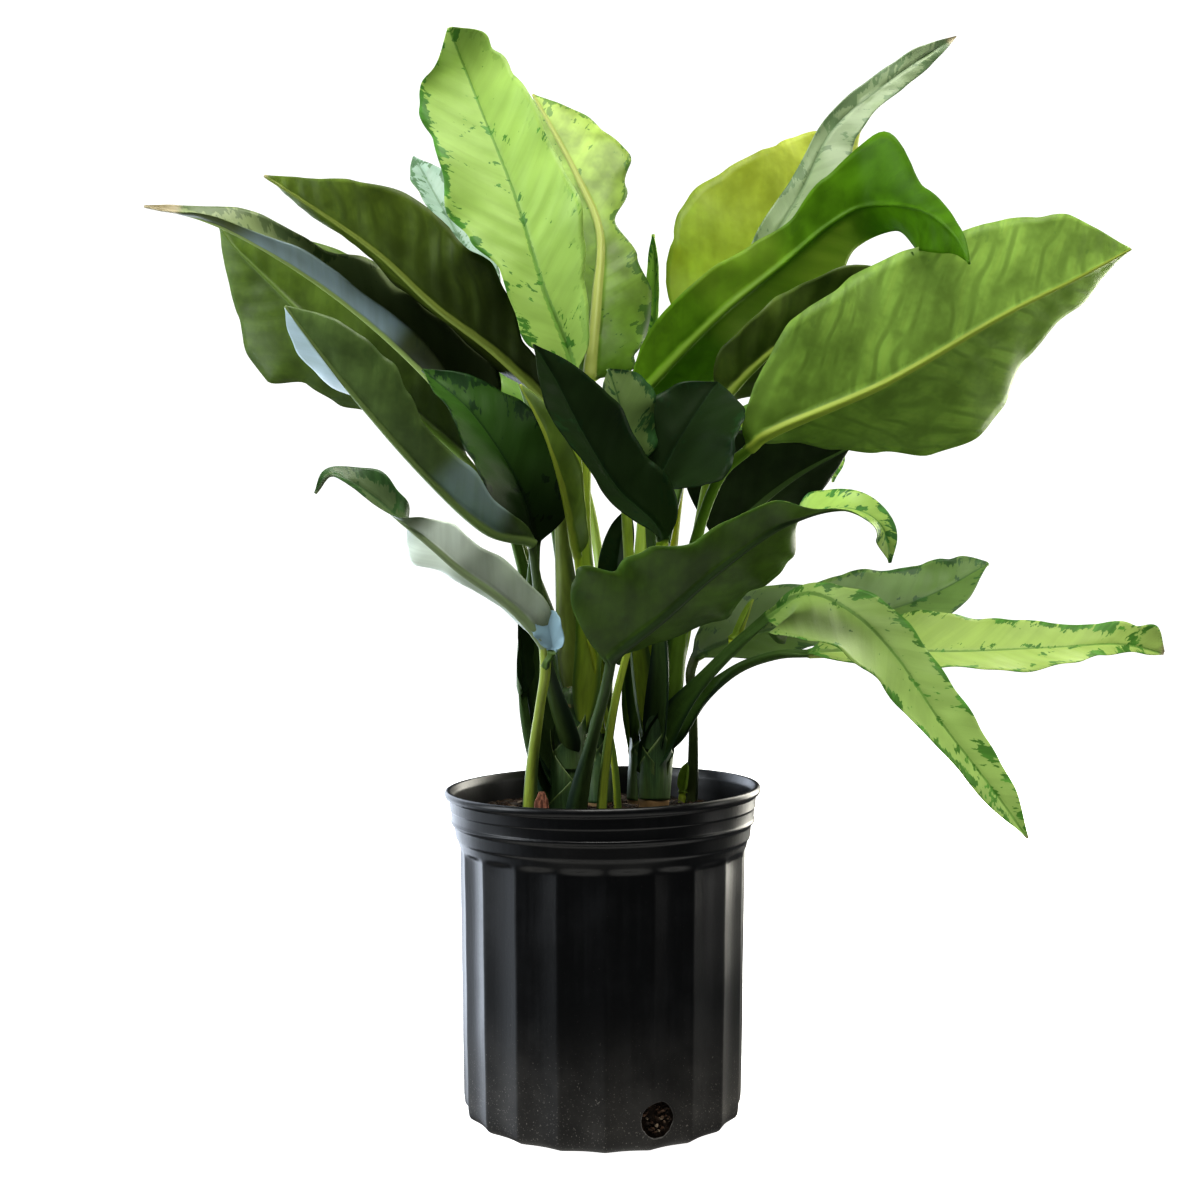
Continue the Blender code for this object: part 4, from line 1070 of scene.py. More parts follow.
def middle_leaves() -> list[Leaf]:
    """The short leaves in the middle."""
    return [
        Leaf("leaf_dark_center", Slot.DARK, DEEP_SHADE, width=66,
             stalk=[(38, -8, 264), (40, -26, 320), (35, -32, 380), (32, -34, 415)],
             blade=[(34, -35, 434), (48, -36, 462), (64, -34, 488), (78, -30, 508)],
             face=[(-0.5, -0.8, 0.3), (-0.4, -0.9, 0.3)], fold=(16, 20), curl=(10, 10),
             wave=(3, 2, 0.0),
             sides=([1.0, 1.4, 1.7, 1.9, 1.9, 1.8, 1.7, 1.7, 1.9, 2.3, 3.0], 1.0)),
        Leaf("leaf_strap", Slot.DARK, STRAP, width=60,
             stalk=[(-2, -38, 196), (1, -42, 240), (8, -50, 290), (22, -58, 345)],
             blade=[(40, -68, 400), (10, -82, 434), (-12, -94, 468), (-30, -102, 502),
                    (-44, -106, 524)],
             face=[(0.3, -0.9, 0.4), (0.4, -0.85, 0.4), (0.2, -0.9, 0.4)],
             fold=(15, 15), curl=(12, 12), wave=(3, 2, 0.0),
             sides=([1.0, 1.0, 1.0, 1.0, 1.0, 1.0, 1.0, 0.95, 0.9, 0.9, 0.9],
                    [0.6, 0.5, 0.5, 0.55, 0.6, 0.65, 0.75, 0.8, 0.9, 1.0, 1.0]),
             sheath=0.15, stalk_size=0.6),
        Leaf("leaf_spotted", Slot.MID, SPOTTED, width=50,
             stalk=[(29, -5, 280), (22, -16, 340), (18, -26, 390), (16, -36, 425)],
             blade=[(16, -44, 448), (15, -50, 470), (11, -54, 492), (4, -56, 514)],
             face=[(0.5, -0.7, 0.5)], fold=(12, 12), wave=(2, 2, 0.0),
             sides=([1.0, 1.0, 1.0, 1.3, 2.4], [1.0, 1.0, 1.0, 1.0, 1.4])),
    ]


def right_leaves() -> list[Leaf]:
    """The leaves that spread to the right, from top to bottom."""
    return [
        Leaf("leaf_big_right", Slot.MID, MEADOW, width=140,
             stalk=[(47, -3, 280), (53, -14, 335), (61, -27, 390), (78, -37, 441)],
             blade=[(99, -43, 462), (116, -46, 474), (190, -42, 506), (270, -32, 552), (325, -20, 580),
                    (365, -8, 602)],
             face=[(-0.35, 0.93, 0.1), (-0.3, 0.93, 0.05), (-0.2, 0.9, 0.3)],
             fold=(6, [48, 20, 28]), curl=(8, 10), wave=(5, 3, 0.0),
             sides=([0.9, 0.85, 1.0, 1.0, 1.04, 1.04, 0.98, 1.0, 1.05, 1.35, 1.6],
                    [0.6, 0.5, 0.72, 0.88, 1.1, 1.15, 1.1, 0.78, 0.62, 0.83, 0.8]),
             ribs=0.8, rib_size=1.0),
        Leaf("leaf_between_right", Slot.MID, OLIVE_LIGHT, width=56,
             stalk=[(46, 5, 290), (59, 7, 350), (68, 6, 410), (77, 2, 460)],
             blade=[(84, -2, 496), (108, -10, 524), (140, -18, 548), (168, -26, 568), (200, -32, 582)],
             face=[(-0.3, 0.8, 0.5), (-0.3, 0.8, 0.5), (-0.2, 0.8, 0.6)],
             wave=(3, 2.5, 0.0), ribs=0.6),
        Leaf("leaf_small_tip", Slot.LIGHT, FRESH, width=60,
             stalk=[(38, 46, 262), (58, 62, 330), (74, 74, 380), (90, 82, 420)],
             blade=[(110, 106, 451), (138, 128, 474), (163, 146, 485), (180, 154, 473),
                    (184, 156, 448)],
             face=[(0, -0.4, 0.9), (0.4, -0.4, 0.8)], wave=(2, 2, 0.0)),
        Leaf("leaf_behind_stalk", Slot.DARK, DEEP_SHADE, width=72,
             stalk=[(42, 12, 262), (50, 28, 320), (62, 32, 350), (73, 29, 380)],
             blade=[(84, 32, 398), (107, 38, 422), (139, 42, 447), (181, 44, 470)],
             face=[(-0.3, 0.8, 0.5)], wave=(2, 2, 0.0),
             sides=([2.2, 2.1, 1.8, 1.5, 1.2, 1.0, 1.0], 1.0)),
        Leaf("leaf_front", Slot.DARK, SHADOW, width=112,
             stalk=[(-19, -34, 200), (-13, -48, 240), (-6, -62, 272), (1, -77, 300)],
             blade=[(5, -88, 322), (38, -98, 350), (72, -108, 380), (108, -114, 406), (136, -116, 418),
                    (160, -114, 419), (177, -111, 408), (184, -106, 385)],
             face=[(-0.5, 0.8, 0.35), (-0.5, 0.8, 0.35), (-0.5, 0.8, 0.35), (-0.5, 0.8, 0.35),
                   (-0.5, 0.75, 0.45), (-0.2, -0.2, 0.95), (0.1, -0.6, 0.8), (0.4, -0.85, 0.35)],
             wave=(3, 5, 0.0),
             sides=([2.6, 1.6, 0.9, 0.78, 0.45, 0.42, 0.38, 0.3, 0.5, 0.75, 0.9],
                    [0.4, 0.4, 0.68, 0.85, 0.78, 0.82, 0.82, 0.7, 0.45, 0.5, 0.7]),
             sheath=0.7),
        Leaf("leaf_upper_level_right", Slot.MID, SAGE, width=79,
             stalk=[(64, 42, 196), (66, 44, 240), (66, 47, 280), (64, 48, 302)],
             blade=[(68, 58, 315), (102, 70, 329), (144, 80, 338), (197, 86, 344), (249, 90, 361),
                    (292, 92, 384)], face=[(-0.1, -0.6, 0.75)], fold=(8, 8), wave=(3, 3, 1.0),
             sides=([1.0, 1.0, 1.0, 1.0, 1.0, 1.0, 1.0, 1.1, 1.2, 1.3, 1.4],
                    [1.0, 1.0, 1.0, 1.0, 1.0, 1.05, 1.1, 1.08, 1.14, 1.35, 3.0]),
             sheath=0.1, stalk_size=0.8),
        Leaf("leaf_level_right", Slot.LIGHT, LEVEL, width=74,
             stalk=[(48, 4, 258), (68, 14, 286), (94, 10, 309), (122, 3, 320)],
             blade=[(145, -2, 322), (188, -8, 324), (245, -22, 324), (305, -28, 327), (355, -28, 329),
                    (386, -24, 322)],
             face=[(0, -0.5, 0.87), (0, -0.5, 0.87), (0, -0.5, 0.87), (-0.1, -0.95, 0.2)],
             fold=(8, 8),
             sides=([1.0, 1.0, 1.0, 1.0, 1.0, 1.0, 1.0, 1.0, 0.5, 0.35, 0.8],
                    [1.0, 1.0, 1.0, 1.0, 1.0, 0.95, 0.75, 0.66, 0.64, 1.0, 4.0])),
        Leaf("leaf_drooping", Slot.LIGHT, PALE, width=70,
             stalk=[(32, -5, 246), (48, -10, 276), (66, -14, 300), (90, -20, 326)],
             blade=[(113, -26, 348), (138, -42, 364), (166, -60, 352), (192, -79, 324),
                    (217, -95, 284), (245, -105, 246), (271, -112, 210)],
             face=[(0.2, -0.75, 0.65), (0.25, -0.75, 0.6), (0.2, -0.85, 0.5)],
             fold=(12, 12), curl=(10, 10), wave=(4, 3, 0.5),
             sides=([2.2, 2.3, 2.2, 1.9, 1.4, 0.9, 0.74, 0.68, 0.66, 0.75, 0.8],
                    [0.3, 0.3, 0.4, 0.55, 0.65, 0.63, 0.6, 0.65, 0.7, 0.8, 0.9]),
             stalk_size=1.15),
    ]


def loose_sheaths() -> list[Leaf]:
    """The small sheath tips that have no part of their own in the frame."""
    return [
        Leaf("sheath_tip_right", Slot.YELLOW, LIME, width=6,
             stalk=[(84, -12, 316), (86, -14, 321), (87, -15, 325), (89, -16, 329)],
             blade=[(90, -16, 332), (95, -17, 342), (99, -17, 351), (103, -16, 360)],
             face=[(-0.6, -0.7, 0.3)], fold=(30, 30), curl=(10, 10), wave=(0, 1, 0.0), sheath=0.0,
             stalk_size=0.4, stands_for=False),
        Leaf("sheath_flap_left", Slot.MID, FLAP_SHEEN, width=24,
             stalk=[(-38, -76, 316), (-37, -78, 320), (-35, -80, 323), (-34, -81, 326)],
             blade=[(-33, -82, 328), (-34, -84, 336), (-36, -85, 345), (-39, -84, 354)],
             face=[(-0.2, -0.9, 0.3)], fold=(25, 12), curl=(20, 15), wave=(1, 2, 0.0),
             sides=([1.0, 1.0, 1.0, 1.2, 2.0], [0.6, 0.7, 0.9, 1.3, 2.4]),
             sheath=0.0, stalk_size=0.5, stands_for=False),
        Leaf("sheath_dark_middle", Slot.DARK, DEEP_SHADE, width=26,
             stalk=[(14, -2, 316), (13, -2, 325), (11, -1, 334), (10, 0, 343)],
             blade=[(9, 0, 350), (9, 0, 372), (12, 0, 397), (18, 0, 424)], face=[(-0.2, -0.9, 0.2)],
             fold=(15, 15), curl=(10, 10), wave=(1, 2, 0.0), stands_for=False),
        Leaf("sheath_stub_right", Slot.YELLOW, LIME, width=11,
             stalk=[(56, 44, 196), (57, 44, 204), (58, 44, 210), (59, 44, 215)],
             blade=[(59, 44, 217), (60, 44, 225), (61, 44, 232), (62, 45, 239)],
             face=[(-0.4, -0.8, 0.2)], fold=(35, 35), curl=(15, 15), wave=(0, 1, 0.0), stalk_size=0.8,
             stands_for=False),
    ]


def back_leaves() -> list[Leaf]:
    """The leaves that spread away from the camera."""
    return [
        Leaf("leaf_back_left", Slot.MID, GARDEN, width=96,
             stalk=[(2, 38, 240), (2, 72, 335), (-8, 108, 418), (-24, 140, 470)],
             blade=[(-38, 162, 498), (-60, 194, 528), (-84, 224, 544), (-104, 252, 536),
                    (-118, 274, 510)],
             face=[(-0.3, 0.3, 0.9), (-0.4, 0.5, 0.8)], wave=(4, 3, 0.0)),
        Leaf("leaf_back_right", Slot.MID, GARDEN, width=94,
             stalk=[(31, 50, 236), (38, 84, 320), (44, 118, 400), (54, 146, 450)],
             blade=[(64, 166, 478), (84, 196, 502), (104, 224, 508), (124, 250, 496), (140, 270, 470)],
             face=[(0.3, 0.3, 0.9), (0.4, 0.5, 0.8)], wave=(4, 3, 0.0)),
    ]


def leaves() -> list[Leaf]:
    """All the leaves, in the order in which they are made."""
    return [*top_leaves(), *left_leaves(), *middle_leaves(), *right_leaves(), *back_leaves(),
            *loose_sheaths()]


def polar(radius: Amounts, turn: Amounts, height: Amounts) -> np.ndarray:
    """Places from their distance to the pot's axis, their turn and their height."""
    return np.stack(np.broadcast_arrays(radius * np.cos(turn), radius * np.sin(turn), height), axis=-1)


@dataclass(frozen=True)
class PlasticFinish:
    """Black blow-moulded plastic with scuffs, dust specks on its lower third, and a pale film there that
    is partly dust and partly painted light bounced up from the floor.
    """

    black: Color = (0.0012, 0.0012, 0.0014)
    worn: Color = (0.0045, 0.0047, 0.0055)
    dust_and_bounce: Color = (0.2, 0.185, 0.165)
    roughness: float = 0.36
    shine: float = 0.32

    def build(self, name: str) -> bpy.types.Material:
        """Makes the material."""
        graph = Graph(name)
        place = graph.object_place()
        x, y, height = place.parts()
        cloud = graph.noise(place, 26.0, 4.0, 0.6)
        drawn = graph.noise(graph.vector(x, y, height * 0.05), 240.0, 3.0, 0.6)
        mottle = graph.noise(place, 420.0, 3.0, 0.65)
        fleck = graph.noise(place, 760.0, 2.0, 0.7)
        low = height.smooth(0.1, 0.0)
        worn = (cloud * 0.6 + drawn * 0.4).smooth(0.45, 0.72)
        color = graph.mix(worn * 0.75, self.black, self.worn)
        # Painted light: the pale film towards the foot is partly dust and partly painted floor bounce;
        # the specks below are dust.
        dust_and_bounce_film = (cloud.smooth(0.35, 0.75) * 0.12 + 0.09) * low
        color = graph.mix(dust_and_bounce_film, color, self.dust_and_bounce)
        specks = (fleck + low * 0.075).smooth(0.70, 0.74)
        color = graph.mix(specks * (low * 0.6 + 0.1), color, self.dust_and_bounce)
        rough = worn * 0.08 + mottle * 0.08 + low * 0.14 + (self.roughness - 0.06)
        rise = mottle * 0.5 + drawn * 0.6 + cloud * 0.8
        return graph.finish(graph.shader(color, rough, self.shine, Normal=graph.bump(rise, 0.16, 0.7)))


@dataclass
class NurseryPot:
    """The fluted pot with its collar bands, rolled lip and three drainage holes."""

    height: float = 228.0
    rim_radius: float = 111.0
    collar_radius: float = 104.2
    body_top_radius: float = 100.5
    body_foot_radius: float = 98.0
    wall: float = 1.3
    floor: float = 4.0
    flutes: int = 20
    flute_depth: float = 2.8
    ridge_angle: float = -89.0
    columns: int = 480
    rim_tilt: float = 2.0
    rim_tilt_start: float = 190.0
    hole_radius: float = 12.3
    hole_height: float = 21.0
    hole_angles: tuple = (-68.0, 52.0, 172.0)

    HOLE_SIDES = 72
    HOLE_TEARS = ((0.45, 0.35), (0.25, 0.12))
    LIP_SIDES = 120
    LIP_TUBE = 7
    LIP_THICKNESS = 0.42
    LIP_SWELL = 0.3
    LIP_FLATNESS = 0.8
    LIP_SINK = 0.35
    DRILL_REACH = (82.0, 112.0)
    CORNER_STEPS = 4
    LONGEST_STEP = 7.0
    SHARP_ANGLE = 50.0
    UNEVENNESS = 0.35
    UNEVEN_CELL = 42.0
    UNEVEN_START = (4.0, 40.0)
    SEED = 4.0

    def first_ridge(self) -> float:
        """The turn of one of the ridges between the hollow flutes."""
        return math.radians(self.ridge_angle)

    def flute_dip(self, turn: np.ndarray, share: Amounts = 1.0) -> np.ndarray:
        """How deep the flutes are at turns round the pot, where they have a share of their depth."""
        return self.flute_depth * share * np.abs(np.sin(self.flutes * (turn - self.first_ridge()) / 2))

    def torn_radius(self, turn: np.ndarray, seed: float) -> np.ndarray:
        """The uneven radius of a drainage hole at turns round its middle."""
        spots = polar(1.0, turn, 0.0)
        radius = self.hole_radius
        for depth, cell in self.HOLE_TEARS:
            radius = radius + depth * grain(spots, cell, seed)
        return radius

    def corners(self) -> list[tuple[float, float, float, float]]:
        """The section's corners as height, radius, share of flutes and rounding."""
        foot, top = self.body_foot_radius, self.body_top_radius
        collar, lip = self.collar_radius, self.rim_radius
        outside = [(0.0, foot - 8.0, 0.6, 1.0), (0.5, foot - 4.5, 1.0, 2.0),
                   (3.0, foot - 0.9, 1.0, 3.0), (10.0, foot, 1.0, 4.0),
                   (60.0, foot + 0.8, 1.0, 5.0), (130.0, top - 0.8, 1.0, 5.0),
                   (183.5, top - 0.1, 1.0, 1.6), (187.0, top + 0.3, 0.0, 1.2),
                   (192.0, top + 1.2, 0.0, 1.6)]
        bands = [(193.6, collar - 0.9, 0.0, 1.2), (202.4, collar + 0.1, 0.0, 1.2),
                 (204.0, collar + 2.1, 0.0, 0.9), (205.6, collar + 2.5, 0.0, 0.8),
                 (206.6, collar + 1.7, 0.0, 0.8), (213.4, collar + 2.3, 0.0, 0.5),
                 (214.2, collar + 3.0, 0.0, 0.6), (221.6, collar + 3.3, 0.0, 0.9),
                 (222.8, lip - 0.9, 0.0, 1.1), (225.6, lip, 0.0, 1.5),
                 (self.height, lip - 1.4, 0.0, 1.1), (self.height, lip - 4.0, 0.0, 1.0)]
        liner = top - self.wall - self.flute_depth
        inside = [(223.0, collar + 0.4, 0.0, 1.5), (205.0, collar - 1.0, 0.0, 1.0),
                  (203.0, collar - 2.8, 0.0, 1.0), (194.0, collar - 3.8, 0.0, 1.0),
                  (190.0, liner, 0.0, 1.5),
                  (self.floor + 4.0, foot - self.wall - self.flute_depth, 0.0, 2.0),
                  (self.floor, foot - 9.0, 0.0, 1.0)]
        return outside + bands + inside

    def section(self) -> np.ndarray:
        """The section, rounded at its corners and split in its long runs: height, radius and flutes."""
        rows = [np.array(row) for row in self.corners()]
        line = [rows[0][:3]]
        for before, here, after in zip(rows, rows[1:], rows[2:]):
            back, ahead = before[:3] - here[:3], after[:3] - here[:3]
            cut_back = min(here[3] / np.linalg.norm(back[:2]), 0.45)
            cut_ahead = min(here[3] / np.linalg.norm(ahead[:2]), 0.45)
            start, end = here[:3] + back * cut_back, here[:3] + ahead * cut_ahead
            for t in np.linspace(0.0, 1.0, self.CORNER_STEPS + 1):
                line.append(start * (1 - t) ** 2 + here[:3] * 2 * t * (1 - t) + end * t ** 2)
        line.append(rows[-1][:3])
        split = [line[0]]
        for here, after in zip(line, line[1:]):
            count = max(int(np.linalg.norm(after[:2] - here[:2]) // self.LONGEST_STEP), 1)
            split += [here + (after - here) * step / count for step in range(1, count + 1)]
        return np.array(split)

    def wall_rings(self) -> np.ndarray:
        """The rings of the wall, fluted, a little uneven and tilted at the lip."""
        section = self.section()
        turn = around(self.columns)
        height, radius, flute = (section[:, k][:, None] for k in range(3))
        dip = self.flute_dip(turn, flute)
        tilted = np.clip((height - self.rim_tilt_start) / (self.height - self.rim_tilt_start), 0.0, 1.0)
        lift = self.rim_tilt * np.cos(turn) * tilted
        places = polar(radius, turn, height).reshape(-1, 3)
        uneven = grain(places, self.UNEVEN_CELL, self.SEED).reshape(dip.shape)
        amount = self.UNEVENNESS * step_up(height, *self.UNEVEN_START)
        return polar(radius - dip + amount * uneven, turn, height + lift)

    def drill(self, angle: float, seed: float) -> bpy.types.Object:
        """A rod with a slightly ragged outline, to cut one drainage hole."""
        turn = around(self.HOLE_SIDES)
        radius = self.torn_radius(turn, seed)
        out = np.array([math.cos(math.radians(angle)), math.sin(math.radians(angle)), 0.0])
        side = np.array([-out[1], out[0], 0.0])
        flat = side * (radius * np.cos(turn))[:, None]
        flat[:, 2] = self.hole_height + radius * np.sin(turn)
        places = np.concatenate([flat + out * reach for reach in self.DRILL_REACH])
        return Piece("drill", places, loft_faces(2, self.HOLE_SIDES), smooth=False).thing

    def cut(self, thing: bpy.types.Object, tool: bpy.types.Object) -> None:
        """Takes the tool's shape out of the thing and removes the tool."""
        step = thing.modifiers.new("cut", "BOOLEAN")
        step.operation = "DIFFERENCE"
        step.solver = "EXACT"
        step.object = tool
        cut_thing = thing.evaluated_get(bpy.context.evaluated_depsgraph_get())
        done = bpy.data.meshes.new_from_object(cut_thing)
        thing.modifiers.clear()
        thing.data = done
        bpy.data.objects.remove(tool, do_unlink=True)

    def lip_faces(self) -> list[Face]:
        """The faces of one closed ring of tube."""
        faces = []
        for side in range(self.LIP_SIDES):
            here, after = side * self.LIP_TUBE, (side + 1) % self.LIP_SIDES * self.LIP_TUBE
            for low in range(self.LIP_TUBE):
                high = (low + 1) % self.LIP_TUBE
                faces.append((here + low, here + high, after + high, after + low))
        return faces

    def lips(self) -> Heap:
        """The thin torn rim round each drainage hole."""
        turn, bend = around(self.LIP_SIDES), around(self.LIP_TUBE)
        heap, faces = Heap(), self.lip_faces()
        for number, angle in enumerate(self.hole_angles):
            swell = np.clip(grain(polar(1.0, turn, 0.0), 0.25, number + 9.0), -0.6, 1.0)
            thick = (self.LIP_THICKNESS + self.LIP_SWELL * swell)[:, None]
            far = self.torn_radius(turn, number + 1.0)[:, None] + thick * np.cos(bend)
            spin = math.radians(angle) + far * np.cos(turn)[:, None] / self.body_foot_radius
            shell = self.body_foot_radius - self.LIP_SINK + thick * np.sin(bend) * self.LIP_FLATNESS
            height = self.hole_height + far * np.sin(turn)[:, None]
            heap.add(polar(shell - self.flute_dip(spin), spin, height).reshape(-1, 3), faces)
        return heap

    def build(self) -> None:
        """Makes the pot and the torn rims of its holes."""
        piece = Piece.lofted("nursery_pot", self.wall_rings())
        for number, angle in enumerate(self.hole_angles):
            self.cut(piece.thing, self.drill(angle, number + 1.0))
        piece.thing.data.shade_smooth()
        piece.thing.data.set_sharp_from_angle(angle=math.radians(self.SHARP_ANGLE))
        piece.dress(PlasticFinish().build("pot_plastic"), Slot.POT).settle("pot")
        torn = PlasticFinish(black=(0.05, 0.048, 0.045), worn=(0.16, 0.155, 0.15), roughness=0.5)
        lips = self.lips().piece("drain_hole_lips")
        lips.dress(torn.build("torn_plastic"), Slot.POT).settle()


@dataclass(frozen=True)
class GrainFinish:
    """Loose matter whose light and dark bits are read from the mesh or from noise."""

    dark: Color
    middle: Color
    light: Color
    grains: float = 500.0
    shade_from_mesh: bool = False
    roughness: float = 0.92
    shine: float = 0.25

    def build(self, name: str) -> bpy.types.Material:
        """Makes the material."""
        graph = Graph(name)
        place = graph.object_place()
        fine = graph.noise(place, self.grains * 2.2, 3.0, 0.7)
        coarse = graph.noise(place, self.grains * 0.5, 3.0, 0.65)
        shade = graph.attribute("shade", "Fac") if self.shade_from_mesh else coarse
        color = graph.mix(shade.smooth(0.15, 0.6), self.dark, self.middle)
        color = graph.mix(shade.smooth(0.66, 0.97), color, self.light)
        color = graph.mix(fine.smooth(0.3, 0.7) * 0.5, color, scaled(self.dark, 0.45))
        rough = fine * 0.1 + (self.roughness - 0.05)
        rise = graph.bump(fine + coarse, 0.5, 0.9)
        return graph.finish(graph.shader(color, rough, self.shine, Normal=rise))


GOLDEN = (1 + math.sqrt(5)) / 2
SIGNS = ((-1, -1), (-1, 1), (1, -1), (1, 1))
LUMP_CORNERS = np.array([(s, t * GOLDEN, 0) for s, t in SIGNS] + [(0, s, t * GOLDEN) for s, t in SIGNS]
                        + [(t * GOLDEN, 0, s) for s, t in SIGNS]) / math.hypot(1, GOLDEN)
NEARNESS = 1.01


def lump_faces() -> list[Face]:
    """The triangles between the nearest corners of a lump, facing out."""
    near = 2.0 / math.hypot(1, GOLDEN) * NEARNESS
    faces = []
    for a, b, c in combinations(range(len(LUMP_CORNERS)), 3):
        p, q, r = LUMP_CORNERS[[a, b, c]]
        if max(np.linalg.norm(p - q), np.linalg.norm(q - r), np.linalg.norm(r - p)) < near:
            out = np.dot(np.cross(q - p, r - p), p + q + r) > 0
            faces.append((a, b, c) if out else (a, c, b))
    return faces


LUMP_FACES = lump_faces()


@dataclass(frozen=True)
class Loose:
    """One kind of loose lump: how many, their sizes, their shape, their height and their shades."""

    count: int
    sizes: Pair
    shape: Point
    lift: float
    shades: Pair

    UNEVENNESS = (0.72, 1.2)
    TILT = (-0.6, 0.6)

    def lump(self, rng: np.random.Generator) -> np.ndarray:
        """The corners of one uneven lump, turned at random, round its own middle."""
        size = rng.uniform(*self.sizes) * np.array(self.shape)
        corners = LUMP_CORNERS * rng.uniform(*self.UNEVENNESS, (len(LUMP_CORNERS), 1)) * size
        heading = Matrix.Rotation(rng.uniform(0, 2 * math.pi), 3, "Z")
        return corners @ np.array(heading @ Matrix.Rotation(rng.uniform(*self.TILT), 3, "X")).T

    def shade(self, rng: np.random.Generator) -> float:
        """A shade from its range, without a draw where the range is one value."""
        low, high = self.shades
        return low if low == high else rng.uniform(low, high)


@dataclass(frozen=True)
class Fibres:
    """Bent three-sided root fibres that lie about flat: how many, and the ranges of their sizes."""

    count: int = 110
    lengths: Pair = (8.0, 24.0)
    bends: Pair = (-1.6, 1.6)
    radii: Pair = (0.16, 0.34)
    shades: Pair = (0.45, 0.9)
    lift: float = 0.9

    STEPS = 7
    ARCH = 1.4
    ARCH_CHANGE = (0.3, 1.8)
    SECTION = ((0, 0, 1), (0.87, 0, -0.5), (-0.87, 0, -0.5))

    def fibre(self, rng: np.random.Generator) -> np.ndarray:
        """The rings of one fibre, round its own middle."""
        length, bend = rng.uniform(*self.lengths), rng.uniform(*self.bends)
        heading = rng.uniform(0, 2 * math.pi) + bend * np.linspace(-0.5, 0.5, self.STEPS)
        path = np.cumsum(polar(1.0, heading, 0.0), axis=0) * length / self.STEPS
        path -= path.mean(axis=0)
        arch = self.ARCH * np.sin(np.linspace(0, math.pi, self.STEPS))
        path[:, 2] = arch * rng.uniform(*self.ARCH_CHANGE)
        ring = np.array(self.SECTION) * rng.uniform(*self.radii)
        return np.concatenate([ring + spot for spot in path])


